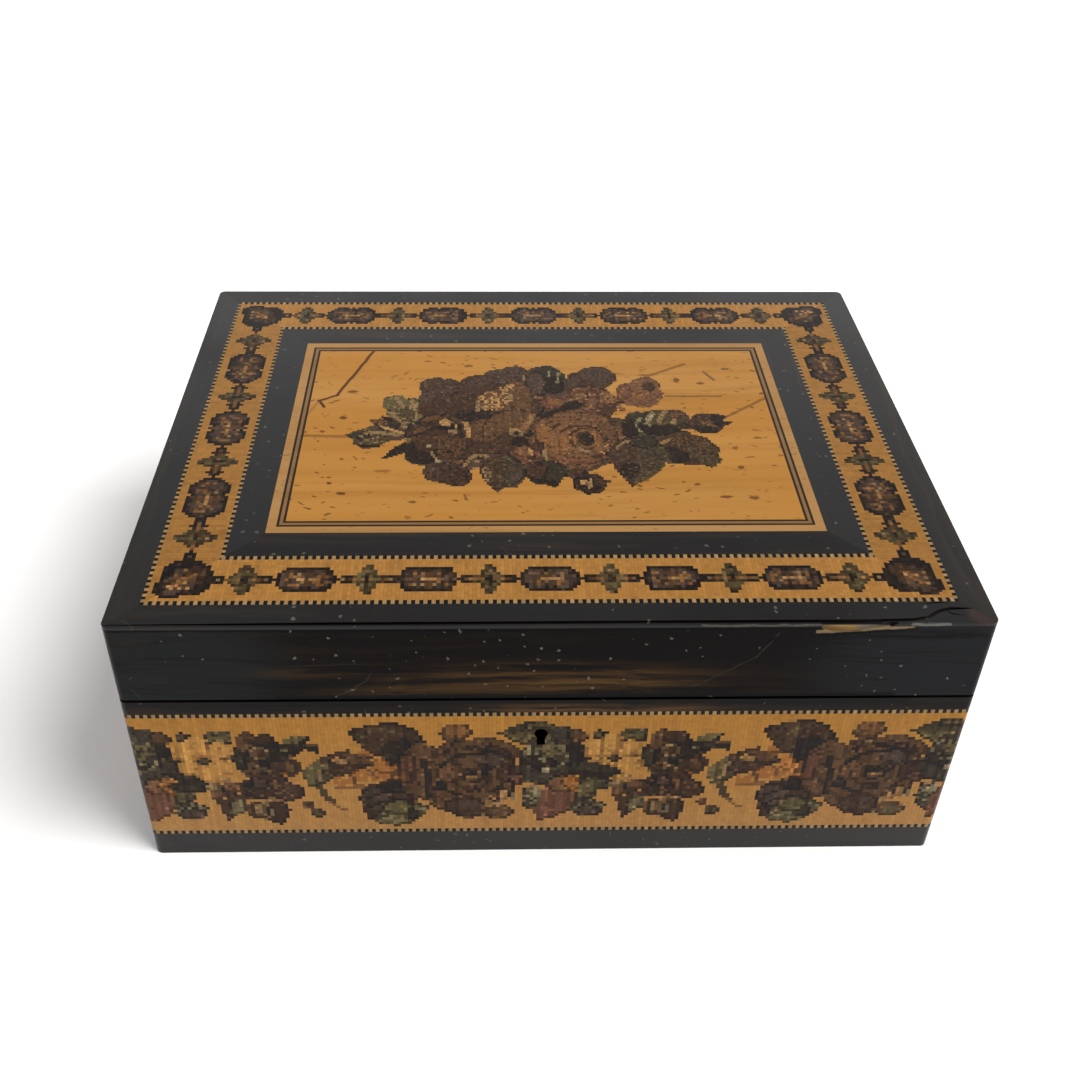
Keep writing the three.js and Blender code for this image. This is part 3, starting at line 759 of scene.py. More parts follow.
floralForms = {  # one repeat of the border: x runs back from the middle, y is the height
    # small flowers and leaves round the yellow flower
    "underLeaf": leaf(-99, 36, 17, 9, 150, "slate", "moss", "bogoak"),
    "underLeafLow": leaf(-98, 33, 14, 7, 186, "slate", None, "bogoak"),
    "leftLeafTop": spot(-110, 52, 3.2, 1.9, "walnut", 20),
    "budTop": leaf(-102.6, 49.5, 7, 4.4, 112, "moss", None, "bogoak"),
    "leafTopRight": leaf(-97.8, 49.6, 10, 7.4, 42, "moss", "sage", "bogoak"),
    "leafTopSide": leaf(-98, 51, 8, 4.5, 12, "greenoak", None, "moss"),
    # the purple flower beside it
    "purpleBack": rose(-82.6, 44, 9.8, 5, "bogoak", "walnut", "rosewood", 2, 20),
    "purpleTop": spot(-86, 51, 3.4, 4.6, "walnut"),
    "purpleTopDark": spot(-81.5, 51.5, 3.2, 3.4, "rosewood"),
    "purpleLeft": spot(-89.6, 42.6, 2.6, 4.0, "slate"),
    "purpleRight": spot(-78.4, 46.6, 3.4, 4.6, "bogoak"),
    "purpleRightLow": spot(-75.4, 40.2, 3.6, 4.6, "rosewood", 0, 0.9),
    "purpleRightWarm": spot(-74.8, 39.6, 2, 2.6, "walnut"),
    "purpleFold": spot(-81.6, 41.6, 1.3, 2.6, "bogoak"),
    "purpleRing": spot(-83.4, 46.2, 2.8, 2.9, "birch"),
    "purpleRingEye": spot(-83.2, 46.2, 1.4, 1.8, "plum"),
    "purpleOrange": spot(-77.7, 36, 1.4, 2.0, "orangewood"),
    "purpleTan": stroke(-84.6, 40.6, -80.2, 36.2, 0.9, "birch", 0.8),
    "purpleTanLeft": stroke(-88.6, 37.4, -86.4, 33.6, 0.9, "birch"),
    "yellowHeart": spot(-99.6, 43.6, 5.4, 6.4, "barberry"),
    "yellowLeftTop": spot(-105.0, 47.4, 3.4, 3.9, "barberry"),
    "yellowLeftLow": spot(-104.0, 40.4, 3.5, 3.9, "barberry"),
    "yellowFoot": spot(-98.8, 36.9, 3.6, 3.6, "barberry"),
    "yellowRightLow": spot(-94.2, 40.6, 3.6, 3.8, "barberry"),
    "yellowRightTop": spot(-94.6, 47.2, 3.5, 3.9, "barberry"),
    "yellowTop": spot(-100.4, 50.2, 3.6, 3.5, "barberry"),
    "yellowShade": spot(-99.6, 43.4, 3.2, 3.6, "amber", 0, 0.6),
    "yellowNotchLeft": stroke(-108.0, 43.9, -104.4, 43.6, 0.9, "amber"),
    "yellowNotchFoot": stroke(-101.6, 35.4, -101.0, 39.6, 0.9, "amber"),
    "yellowNotchRight": stroke(-91.8, 44.2, -95.4, 43.8, 0.9, "yew"),
    "yellowNotchTop": stroke(-97.4, 51.6, -97.8, 47.6, 0.9, "yew"),
    "yellowEye": spot(-99.5, 42.8, 1.8, 1.7, "moss"),
    # dark cluster of small petals under it
    "clusterJoin": spot(-81.8, 34.6, 6.0, 2.6, "rosewood", -4),
    "clusterBand": spot(-81.5, 29.6, 10, 5.4, "rosewood", -8),
    "clusterLilac": spot(-84.4, 32.2, 2.4, 2.4, "lilac"),
    "clusterPale": spot(-79.8, 31.6, 1.4, 2.6, "cherry", 20),
    "clusterPaleLeft": spot(-87.2, 28.4, 1.2, 2.2, "lilac", 30),
    "clusterDark": spot(-88, 33, 2.0, 1.9, "bogoak"),
    "clusterFleck": spot(-82, 30, 9, 5, "cherry", 0, 0.14),
    "smallTan": spot(-98, 31.2, 2.7, 2.3, "birch"),
    "smallTanRight": spot(-92.8, 30.8, 3.2, 2.5, "cherry"),
    "smallTanTop": spot(-94.6, 34.2, 1.8, 1.3, "boxwood"),
    "smallTanEye": spot(-95.4, 30.2, 0.8, 1.2, "bogoak"),
    "smallLilac": spot(-97.6, 27.2, 2.6, 1.9, "cherry", 30),
    "smallLilacRight": spot(-93.6, 27.6, 1.7, 1.6, "rosewood"),
    "clusterStem": stroke(-97.8, 24.4, -88.6, 27.6, 2.4, "rosewood", -0.6),
    "clusterStemLow": stroke(-93.4, 27, -89.4, 20.4, 2.0, "walnut"),
    "smallLeaf": leaf(-93.6, 25.4, 9.8, 4.8, 258, "moss", None, "rosewood"),
    "smallLeafRight": leaf(-90.6, 25.4, 8.0, 4.2, 250, "greenoak", "sage"),
    "pansyRim": spot(-82, 20.6, 5.2, 5.6, "boxwood"),
    "pansyLeft": spot(-86.4, 20.4, 3.6, 4.0, "walnut"),
    "pansyLeftHeart": spot(-85.4, 20.6, 2.2, 3.0, "birch"),
    "pansyRight": spot(-80.2, 20.8, 3.5, 3.9, "rosewood"),
    "pansyTail": leaf(-81.6, 19.4, 6.4, 5.2, 290, "rosewood"),
    "pansyFleck": spot(-82.4, 19.6, 0.8, 1.4, "holly"),
    "budStemRight": stroke(-73, 23.6, -69.6, 20.4, 1.2, "walnut"),
    "littleBud": spot(-68.6, 18.8, 2.2, 2.3, "moss", 50),
    "littleBudLeaf": spot(-71.6, 22.9, 1.9, 1.3, "walnut", 30),
    # olive leaf that curls up to the orange petals
    "cornerLeaf": leaf(-76.6, 46.4, 11, 6.4, 44, "greenoak", None, "bogoak"),
    "cornerLeafDark": stroke(-76.4, 49, -66.4, 47.4, 2.4, "bogoak", 0.8),
    "cornerTwig": stroke(-70.4, 49.4, -66.2, 49.8, 1.2, "walnut"),
    "curlLeaf": leaf(-69.6, 31.2, 15.5, 8.4, 66, "greenoak", None, "moss"),
    "curlLeafVein": stroke(-67.2, 34.2, -66.0, 40.6, 1.0, "birch"),
    "curlLeafTop": stroke(-65.8, 42.8, -57.4, 46.6, 2.1, "rosewood", 0.6),
    "curlStem": stroke(-67.0, 33, -63.8, 23.8, 2.3, "moss", -0.9),
    "curlStemThin": stroke(-64.4, 24, -59.6, 20.2, 0.9, "yew", -0.5),
    "purpleLeafUp": leaf(-64.6, 37, 17, 7.4, 32, "rosewood", None, "walnut"),
    "purpleLeafUpTip": leaf(-60.4, 44.6, 11, 4.6, -18, "walnut"),
    "curlGold": spot(-60.4, 42.4, 1.8, 1.3, "boxwood"),
    # orange petals
    "orangeSmall": spot(-53.0, 46.2, 2.5, 2.3, "orangewood", 0, 0.9),
    "orangeUpper": spot(-47.4, 40.4, 3.7, 3.8, "orangewood"),
    "orangeBody": spot(-49.2, 36.8, 4.4, 3.6, "orangewood", 0, 0.86),
    "orangeMiddle": spot(-54.8, 36.2, 3.2, 3.2, "orangewood", 0, 0.86),
    "orangeLeft": spot(-60.2, 33.2, 3.2, 2.9, "orangewood", 0, 0.8),
    "orangeEdge": stroke(-62.6, 36.6, -51.2, 40.6, 1.3, "rosewood", 0.4),
    "orangeFold": stroke(-51.8, 38.6, -50.2, 34.2, 1.1, "cherry"),
    "orangeFoldLeft": stroke(-57.6, 36.6, -56.4, 32.4, 1.1, "walnut"),
    "orangeEdgeLow": stroke(-62.6, 30.6, -54.4, 31.4, 1.8, "yew", -0.4),
    # dark leaf above the brown rose
    "bigLeaf": leaf(-34.6, 47.6, 24.6, 15.4, 161, "rosewood", "moss", "bogoak", 4.2),
    "bigLeafTop": spot(-46.4, 53.6, 9.0, 4.6, "rosewood", -6),
    "bigLeafGreen": spot(-49, 54.6, 5.8, 2.6, "moss", 8, 0.55),
    "bigLeafPale": spot(-49, 54.4, 5.0, 1.9, "greenoak", 10, 0.3),
    "bigLeafFoot": leaf(-41.2, 51, 11.4, 8.4, 246, "bogoak"),
    # the brown rose
    "roseUnder": spot(-42.4, 30, 5, 9, "walnut"),
    "lowLeaf": leaf(-42.6, 32.8, 20.6, 16.6, 238, "rosewood", None, "rosewood"),
    "lowLeafLilac": spot(-50.2, 25.2, 4.6, 5.4, "lilac", 20),
    "lowLeafVein": stroke(-53.2, 25.6, -41.6, 28.0, 1.2, "bogoak", 1.5),
    "lowLeafVeinLow": stroke(-52.8, 21.4, -43.6, 24.8, 1.1, "bogoak", 1.0),
    "lowLeafDark": spot(-44.4, 30.8, 3.8, 3.0, "bogoak"),
    "greyLeaf": leaf(-51.2, 14.6, 18.6, 9.6, 24, "moss", "sage", "greenoak", 3.0),
    "greyLeafTop": spot(-43.8, 20.8, 4.2, 3.4, "greenoak"),
    "greyLeafDark": spot(-40, 18, 2.2, 2.6, "slate"),
    "roseLeft": spot(-36.4, 37.4, 7.4, 12.6, "walnut"),
    "roseLeftRed": spot(-40.4, 39, 2.6, 6.4, "plum"),
    "roseBody": rose(-23.4, 36.0, 16.0, 5, "rosewood", "walnut", "walnut", 1, 36, 1.02),
    "roseBack": spot(-23, 36, 11.4, 13.6, "walnut"),
    "roseFoot": spot(-25.4, 24, 9.6, 5.6, "walnut"),
    "roseShadow": stroke(-36.2, 42.6, -35.2, 26, 2.2, "bogoak", 0.5),
    "roseShadowRight": stroke(-34.2, 32, -33.6, 24.2, 1.0, "rosewood"),
    "roseCrown": stroke(-28.4, 46.2, -11.8, 44.6, 3.2, "rosewood", 3.6),
    "roseCrownDark": spot(-17.2, 47.2, 3.6, 2.0, "bogoak", -20),
    "roseTopPetal": stroke(-27.8, 46.4, -8.8, 45.8, 3.8, "walnut", 4.6),
    "roseRingTop": ring(-22.0, 36.4, 9.8, 8.8, 1.8, "bogoak", 5, 165),
    "roseRingLow": ring(-22.6, 35.4, 10.4, 8.8, 1.4, "bogoak", 185, 165),
    "roseRingOuter": ring(-21.8, 36.6, 12.8, 12.4, 1.5, "rosewood", -25, 180),
    "roseRingFoot": ring(-22.6, 34.2, 13.0, 12.6, 1.4, "rosewood", 200, 135),
    "roseInner": spot(-28.2, 36.4, 3.7, 4.6, "cherry"),
    "roseLilac": spot(-16.6, 42.4, 4.4, 3.2, "lilac"),
    "roseHole": spot(-18.0, 38, 2.1, 1.9, "bogoak"),
    "roseRingInner": ring(-22.4, 35.6, 6.2, 5.4, 1.3, "rosewood", 140, 290),
    "roseHeart": spot(-22.8, 36.2, 2.2, 2.2, "rosewood"),
    "roseHeartDark": spot(-22.9, 37.0, 1.0, 1.1, "bogoak"),
    "roseRingHeart": ring(-21.8, 36.0, 3.4, 3.0, 1.1, "bogoak", 200, 300),
    "roseHeartPale": spot(-22.3, 35.0, 1.6, 0.9, "boxwood"),
    "roseGap": spot(-31.2, 31, 2.2, 1.9, "bogoak", 30),
    "roseGapLow": spot(-21.6, 28.4, 2.4, 1.8, "rosewood"),
    "roseRight": spot(-11.6, 36.4, 2.3, 4.2, "rosewood"),
    "rosePink": spot(-8.4, 36, 1.9, 4.8, "plum"),
    "roseWarm": spot(-21, 25.2, 5.4, 3.2, "walnut"),
    "rosePetalLow": spot(-23.6, 20.6, 6.0, 4.8, "rosewood"),
    "rosePetalLilac": spot(-24.4, 22.2, 4.4, 2.4, "lilac", 0, 0.8),
    "rosePetalOlive": spot(-14.2, 18.8, 4.4, 3.6, "walnut"),
    "rosePetalGreen": spot(-14.2, 18.2, 3.4, 2.4, "greenoak", 0, 0.5),
    "stamen": spot(-13.0, 26.8, 1.3, 2.6, "boxwood"),
    "stamenLow": spot(-17.4, 22.8, 1.2, 1.4, "boxwood"),
    "stamenMiddle": spot(-15.2, 24, 3.8, 2.8, "boxwood", 30, 0.34),
    "stamenPale": spot(-10.0, 26.2, 0.8, 1.9, "holly"),
    "rosePaleEdge": stroke(-18.8, 18.4, -18.2, 16.4, 1.1, "birch"),
    "oneBud": spot(-26.6, 54.6, 4.7, 4.0, "walnut", 22),
    "oneBudWarm": spot(-26.2, 55.4, 3.4, 2.8, "yew", 25, 0.85),
    "oneBudFoot": spot(-26.2, 48.8, 1.4, 1.2, "birch"),
    "tanMark": stroke(-45.4, 35.2, -42.2, 34.6, 1.4, "orangewood"),
    # green cluster and the red tulip beside the keyhole
    "greenTop": leaf(4.4, 53.6, 19, 10.4, 178, "greenoak", "moss", "slate", 3.0),
    "greenTopDark": spot(-2.4, 57.2, 3.8, 1.8, "moss"),
    "greenRight": spot(4.2, 53.2, 3.8, 4.0, "slate"),
    "greenCluster": spot(0.6, 42.0, 9.4, 11.0, "slate", -8),
    "greenClusterDark": spot(-2, 41, 5.6, 2.6, "bogoak", -14),
    "greenClusterLow": stroke(-8.6, 37.6, 8, 37, 3.4, "slate", -1.4),
    "greenBand": spot(-1.4, 33.6, 6.4, 2.2, "slate", -5),
    "greenFleck": spot(1.2, 45.8, 8.0, 6.0, "sage", 0, 0.17),
    "greenOlive": spot(1.0, 47.4, 4.8, 3.4, "greenoak", 0, 0.42),
    "greenArc": stroke(6.2, 44.6, 0.6, 38.2, 1.3, "sage", 1.3),
    "greenPale": spot(-0.8, 37.8, 1.1, 1.4, "holly"),
    "rightDark": spot(8.4, 44.4, 2.6, 6.0, "bogoak"),
    "rightBrown": spot(8.2, 53.4, 2.3, 2.2, "walnut"),
    "underYellow": leaf(6, 38.4, 17, 6.4, -6, "slate", None, "bogoak"),
    "leafLeft": leaf(-1.4, 18.6, 13.6, 7.4, 112, "slate", "sage", "moss"),
    "whitePetal": spot(-3.0, 28, 1.5, 2.2, "holly"),
    "whitePetalTop": spot(-4.2, 30.6, 2.2, 1.0, "birch", 20),
    "tulipLeaf": leaf(8.6, 22.6, 12.8, 6.6, 62, "greenoak", None, "moss"),
    "tulipLeafRight": spot(13.2, 30.8, 3.0, 3.6, "greenoak", 0, 0.85),
    "tulipLeafLow": leaf(7.6, 18.8, 11.2, 8.0, 18, "slate", "sage", "rosewood"),
    "tulipLeafFoot": spot(13.0, 18.6, 4.0, 2.2, "lilac"),
    "tulip": spot(3.6, 25.4, 5.6, 8.6, "plum", -14),
    "tulipTop": spot(4.0, 31.6, 3.2, 3.6, "cherry"),
    "tulipFoot": leaf(3.4, 24, 11.2, 8.2, 238, "plum"),
    "tulipOrange": spot(7.6, 31.6, 2.2, 3.9, "orangewood", 14),
    "tulipEdge": stroke(7.8, 27.6, 8.2, 21.4, 0.9, "cherry"),
}

bouquetForms = {
    # leaves round the edge
    "olive": leaf(-38.6, 1.4, 21, 15, 128, "moss", "birch", "greenoak", 3.4),
    "oliveRound": spot(-48.2, 14.4, 5.2, 5, "greenoak"),
    "oliveStripe": stroke(-48.2, 17.6, -45.6, 12.0, 1.6, "birch"),
    "oliveStripeRight": stroke(-43.2, 17.2, -41.6, 10.4, 1.2, "birch"),
    "olivePale": stroke(-49.2, 8.6, -43.6, 0.2, 1.9, "birch", -0.6),
    "oliveDark": spot(-43.4, 7.6, 2.2, 3.6, "moss", 20),
    "purple": spot(-34, 20.6, 7.4, 9.8, "lilac", 0),
    "purpleDark": spot(-34.2, 22.4, 5.2, 6.4, "rosewood", 30, 0.5),
    "purpleFoot": spot(-34, 10.4, 6.6, 5.4, "rosewood"),
    "smallBud": spot(-50, 1.6, 4.2, 3.6, "slate", -30),
    "smallBudTip": leaf(-50, 2.5, 7, 3.4, 163, "walnut"),
    "smallBudEdge": stroke(-52.6, 6.2, -48.6, 3.8, 1.2, "bogoak"),
    "bigBud": spot(-55.6, -5.2, 6.8, 5.4, "moss", -6),
    "bigBudLilac": spot(-57, -5.0, 3.8, 2.4, "lilac", -10),
    "bigBudTip": leaf(-55, -4.6, 8.6, 3.6, 176, "slate"),
    "bigBudPale": stroke(-56.6, -2.6, -46, -4.2, 1.7, "birch", 0.5),
    "bigBudPaleTop": stroke(-52.0, 1.0, -44.2, -3.0, 1.2, "boxwood", -0.4),
    "bigBudFleck": spot(-56, -6.2, 5.4, 3.6, "birch", 0, 0.16),
    "bigBudFoot": stroke(-60.4, -9.6, -50, -9.2, 1.5, "bogoak", -0.6),
    "stemPale": stroke(-51.6, -13.6, -43.4, -6.2, 1.5, "boxwood"),
    "stem": leaf(-40.4, -8.0, 14.2, 4.4, 220, "bogoak"),
    # the dahlia, dark with pale flecks
    "dahlia": rose(-30, -6, 15, 9, "bogoak", "rosewood", "walnut", 2, 0),
    "dahliaFace": spot(-29, -6.6, 10.4, 10.4, "rosewood"),
    "dahliaArcLow": stroke(-39.6, -6.0, -20.4, -7.4, 1.2, "bogoak", -6.2),
    "dahliaArcTop": stroke(-38.4, -3.4, -20.8, -2.4, 1.1, "bogoak", 4.6),
    "dahliaWarm": spot(-31, -10, 7.0, 6.4, "walnut", 20, 0.4),
    "dahliaPetal": spot(-38.6, -13.4, 5.2, 6.2, "bogoak", 20),
    "dahliaPetalLow": spot(-37.0, -9.2, 3.6, 4.6, "rosewood"),
    "dahliaFoot": rose(-31.5, -23, 6.4, 5, "rosewood", "rosewood", "lilac", 2, 20),
    "dahliaEnd": rose(-26.4, -26, 5.4, 5, "bogoak", "rosewood", "rosewood", 2, 0),
    "dahliaStemPale": stroke(-36.4, -9.2, -36.2, -10.9, 1.4, "holly"),
    "dahliaStemMiddle": stroke(-35.2, -13.6, -32.8, -18.2, 1.1, "birch"),
    "dahliaSeed": spot(-32.8, -18.0, 1.0, 0.9, "holly"),
    "dahliaLeftPale": spot(-43.4, -6.8, 0.9, 1.2, "birch"),
    # the dark peony and its crown of leaves
    "peony": rose(-13.4, 16, 16.4, 7, "bogoak", "rosewood", "lilac", 2, 24),
    "peonyFace": spot(-13.4, 15, 12.0, 11.4, "rosewood"),
    "peonyArcTop": stroke(-25.6, 18.4, -4.4, 24.4, 1.1, "bogoak", 5.2),
    "peonyArcLeft": stroke(-25.0, 20.6, -22.4, 5.6, 1.2, "bogoak", -2.4),
    "peonyArcLow": stroke(-22.6, 9.4, -5.6, 8.6, 1.1, "bogoak", -2.8),
    "peonyPetal": spot(-20.4, 25.0, 8.0, 6.2, "rosewood", 24),
    "peonySheen": spot(-20.2, 26.6, 5.0, 2.6, "lilac", 24, 0.7),
    "peonyCrest": rose(-9.4, 30.8, 7.2, 5, "rosewood", "lilac", "lilac", 1, 0),
    "peonyRight": spot(-6.6, 18.6, 4.6, 9.0, "walnut", 10),
    "peonyRightLow": spot(-9.6, 8.4, 7.0, 6.0, "walnut", 0, 0.8),
    "peonyLeft": spot(-25.6, 12, 5.4, 8.0, "rosewood"),
    "peonyShade": spot(-18.4, 6.2, 10.4, 3.6, "bogoak", -6, 0.8),
    "stamenRing": spot(-15.0, 16.0, 6.4, 5.0, "walnut", 42),
    "stamenDark": spot(-15.2, 17.6, 3.0, 2.0, "plum", 42),
    "stamens": spot(-15.0, 16.0, 6.8, 5.4, "boxwood", 42, 0.5),
    "stamensTop": spot(-11.6, 22.2, 4.6, 1.9, "boxwood", 46, 0.62),
    "stamensEdge": stroke(-20.6, 15.2, -20.9, 9.6, 1.4, "birch"),
    "stamensRight": stroke(-9.6, 19.4, -9.4, 16.2, 1.2, "birch"),
    # middle of the bouquet: brown shade between the flowers
    "middleShade": spot(-8, -2.4, 10.4, 12.0, "walnut", 10),
    "middleDark": spot(-12.4, -9, 7.8, 5.4, "rosewood", 12),
    "middleDarkTop": spot(-19, -1.6, 5.4, 6.4, "walnut", 0, 0.75),
    "middleRing": spot(-7.8, -2.6, 2.5, 2.3, "birch"),
    "middleRingEye": spot(-7.9, -3.0, 0.9, 0.9, "bogoak"),
    "middleRingTail": stroke(-10.2, -0.8, -7.6, -1.0, 1.1, "boxwood"),
    "goldStrip": stroke(-6.0, -0.6, -2.8, 7.4, 2.3, "yew", -0.5),
    "goldStripPale": stroke(-4.8, 0.8, -2.9, 6.2, 1.0, "birch", -0.4),
    "roseShade": stroke(-3.6, -4.6, 1.8, 6.4, 3.6, "bogoak", -0.8),
    "roseShadeLow": spot(-6.8, -8.0, 2.6, 2.6, "bogoak"),
    "yellowFleck": spot(-31.2, 2.8, 2.1, 1.9, "boxwood"),
    "yellowFleckRight": spot(-28.6, -2.0, 1.6, 1.9, "birch", 30),
    "yellowFleckTop": spot(-27.2, 0.6, 1.1, 1.0, "boxwood"),
    "yellowPetal": stroke(-24.8, 3.2, -23.8, -5.2, 1.7, "boxwood", 0.4),
    "yellowPetalShade": stroke(-26.6, 1.6, -25.8, -5.0, 1.2, "bogoak"),
    "fleckShade": spot(-30.6, -0.4, 2.6, 1.0, "ebony"),
    # upper leaves
    "crown": spot(3.6, 28.6, 7.0, 9.4, "slate", 8),
    "crownDark": spot(5.4, 25.2, 3.6, 5.6, "bogoak"),
    "crownLilac": spot(-0.6, 26.4, 3.2, 6.4, "lilac"),
    "crownPale": stroke(4.2, 33.0, 3.9, 29.8, 1.1, "holly"),
    "crownStripe": stroke(7.2, 32.4, 6.8, 26.2, 1.2, "sage"),
    "crownEdge": stroke(-4.8, 30.8, -5.0, 27.6, 1.1, "birch"),
    "upper": spot(19, 28.6, 8.4, 8.4, "rosewood", -10),
    "upperSheen": spot(20.4, 31.4, 5.8, 4.4, "lilac", 0, 0.8),
    "upperPale": spot(21.4, 25.2, 2.8, 2.4, "moss", 0, 0.6),
    "upperLeft": spot(12.6, 24.4, 3.8, 6.0, "rosewood"),
    "upperLeftLilac": spot(12.2, 26.4, 2.2, 3.8, "lilac", 0, 0.7),
    "upperFoot": spot(21.8, 20.2, 3.4, 2.6, "bogoak"),
    # small rose and the curled petals under it
    "smallRose": rose(34.4, 19.4, 9.4, 5, "plum", "cherry", "cherry", 3, 30),
    "smallRoseTop": spot(36.2, 25.0, 5.2, 4.6, "cherry"),
    "smallRoseEye": spot(38.2, 23.6, 2.1, 2.5, "rosewood"),
    "smallRosePale": spot(33.2, 18.8, 1.9, 2.2, "yew", 20, 0.6),
    "smallRoseFold": stroke(31.2, 23.4, 31.0, 15.6, 1.1, "plum"),
    "smallRoseFoot": stroke(31.0, 11.6, 38, 12.2, 1.2, "yew", -0.5),
    "curled": rose(17, 14.4, 10.2, 5, "rosewood", "plum", "cherry", 3, 40),
    "curledPink": spot(14.6, 18.0, 2.6, 2.4, "cherry", 40),
    "curledTan": spot(24.6, 17.0, 2.2, 3.4, "yew", 20, 0.8),
    "curledDark": spot(26.4, 12.8, 1.9, 2.6, "rosewood", -30),
    "curledLight": spot(18, 14, 9.4, 6.4, "birch", 0, 0.13),
    "orangePetal": spot(4.2, 14.2, 3.9, 3.6, "plum"),
    "orangePetalWarm": spot(5.2, 14.6, 2.5, 2.1, "yew", 0, 0.9),
    "orangePetalTop": spot(0.4, 17.0, 1.9, 1.3, "cherry"),
    "curledShade": spot(11.4, 12.6, 3.2, 2.4, "bogoak", 20),
    "overRoseShade": stroke(1.6, 6.2, 9.8, 10.8, 2.8, "bogoak", 0.6),
    "roseSepal": leaf(21.4, 12.2, 9.6, 5.0, -48, "rosewood"),
    "roseSepalTip": leaf(26, 13, 5.4, 3.0, -46, "yew"),
    "sepalDark": spot(22.2, 5.4, 3.0, 4.4, "rosewood", 10),
    # the open rose
    "openRose": rose(11.6, -6.2, 16.0, 8, "walnut", "cherry", "cherry", 1, 12),
    "openRoseBack": spot(11, -6.2, 12.6, 12.4, "cherry"),
    "openRoseWarm": spot(9.6, -6.6, 9.6, 8.6, "yew", 0, 0.5),
    "openRoseRingOuter": ring(11.6, -6.6, 13.2, 13.0, 1.7, "rosewood", -15, 165),
    "openRoseRingFoot": ring(11.4, -7.0, 13.4, 12.6, 1.4, "rosewood", 165, 165),
    "openRoseRingTop": ring(12.0, -6.4, 10.4, 10.2, 1.6, "rosewood", 30, 180),
    "openRoseRingLow": ring(12.2, -7.0, 10.0, 9.8, 1.4, "rosewood", 225, 140),
    "openRoseRingMiddle": ring(13.0, -6.4, 7.6, 7.6, 1.5, "rosewood", -40, 200),
    "openRoseRingWarm": ring(12.6, -6.8, 7.4, 7.6, 1.3, "walnut", 180, 120),
    "openRoseRingHeart": ring(14.2, -6.2, 5.0, 5.6, 1.3, "rosewood", 60, 260),
    "openRoseTop": spot(12.0, 4.6, 9.0, 3.6, "cherry", -6, 0.8),
    "openRoseLeft": spot(1.6, -4.2, 3.0, 7.0, "yew", 6, 0.7),
    "openRoseRight": spot(21.8, -1.6, 2.9, 5.4, "walnut", 12),
    "openRoseGold": stroke(8.6, -5.2, 7.4, -12.8, 2.0, "yew", -0.8),
    "openRoseGoldRight": stroke(11.2, -10.4, 15.2, -13.2, 1.2, "birch", -0.6),
    "openRoseGoldLeft": stroke(5.8, -5.6, 5.0, -11.4, 1.0, "yew", -0.6),
    "openRoseEye": spot(14.4, -6.2, 2.8, 4.0, "rosewood", 8),
    "openRoseEyeDark": spot(14.6, -6.0, 2.0, 3.0, "bogoak", 8, 0.8),
    "openRosePink": spot(20.6, -12.6, 3.4, 4.4, "cherry", -30, 0.7),
    "openRosePinkPale": spot(21.2, -13.6, 3.6, 4.6, "boxwood", -30, 0.14),
    "openRoseGap": stroke(14.6, -15.6, 20.4, -14.6, 1.9, "rosewood", -0.5),
    "openRoseFoot": spot(9.2, -18.6, 7.4, 4.6, "cherry", 0, 0.75),
    "openRoseFootShade": stroke(4.2, -17.4, 13.6, -18.6, 1.3, "plum", -0.9),
    "openRoseFootDark": spot(10.4, -23.4, 2.9, 1.9, "rosewood"),
    "curlPink": spot(-5.2, -15.0, 4.4, 4.8, "plum"),
    "curlPinkWarm": spot(-5.8, -13.0, 3.1, 2.8, "cherry", 30),
    "curlPinkPale": stroke(-4.2, -11.6, -3.6, -17.4, 1.3, "boxwood", 0.5),
    "curlPinkEye": spot(-3.2, -16.4, 1.3, 1.5, "rosewood"),
    "curlPinkEdge": stroke(0.8, -11.6, 2.8, -20.4, 1.2, "birch", -0.8),
    "curlDark": spot(-1.4, -10.4, 2.4, 2.4, "rosewood"),
    # stamens over the lower leaves
    "clusterStamen": stroke(-24.8, -20.4, -21.2, -14.8, 1.4, "birch", 0.4),
    "clusterStamenMiddle": spot(-19.2, -17.0, 2.7, 2.9, "birch", 0, 0.6),
    "clusterStamenEye": spot(-19.2, -17.2, 1.0, 1.4, "rosewood"),
    "clusterStamenRight": stroke(-15.2, -17.6, -12.8, -14.8, 1.2, "boxwood"),
    "clusterStamenLow": stroke(-22.2, -21.6, -18.4, -20.6, 1.2, "birch", -0.4),
    # leaves at the foot
    "footMiddle": leaf(-11.6, -14.4, 20, 14.4, -98, "slate", "moss", "rosewood", 3.6),
    "footMiddleLilac": spot(-9.0, -24.6, 2.4, 5.4, "lilac", 0, 0.7),
    "footMiddlePale": spot(-17.6, -24.8, 1.4, 3.8, "birch", 10, 0.45),
    "footRight": leaf(-0.4, -17.6, 14.6, 13.4, -78, "slate", None, "bogoak"),
    "footRightLilac": spot(-2.0, -22.8, 3.2, 4.0, "rosewood"),
    "footRightEdge": spot(1.0, -29.6, 3.4, 1.4, "bogoak"),
    "fallenBud": rose(14, -29.4, 5.6, 7, "ebony", "rosewood", "bogoak", 2, 10),
    "fallenBudPink": spot(16.8, -28.6, 1.6, 1.9, "rosewood"),
    "fallenBudPale": spot(12.2, -28.8, 1.2, 1.3, "boxwood"),
    "fallenBudStar": stroke(14.4, -26.8, 13.8, -31.6, 1.1, "birch"),
    # leaves on the right
    "striped": spot(34.4, 2.0, 8.0, 7.6, "slate", 30),
    "stripedTip": spot(41.6, 4.4, 7.4, 6.0, "moss", 14),
    "stripedDark": spot(38.6, -1.6, 8.4, 3.0, "bogoak", -4),
    "stripedRoot": spot(29.6, -0.6, 3.0, 5.0, "bogoak", -18),
    "stripeOne": stroke(31.4, -0.4, 33.6, 5.4, 1.2, "sage", 0.8),
    "stripeTwo": stroke(35.0, 1.2, 37.8, 8.4, 1.9, "sage", 0.5),
    "stripeTwoPale": stroke(35.8, 3.6, 37.2, 7.0, 1.1, "holly"),
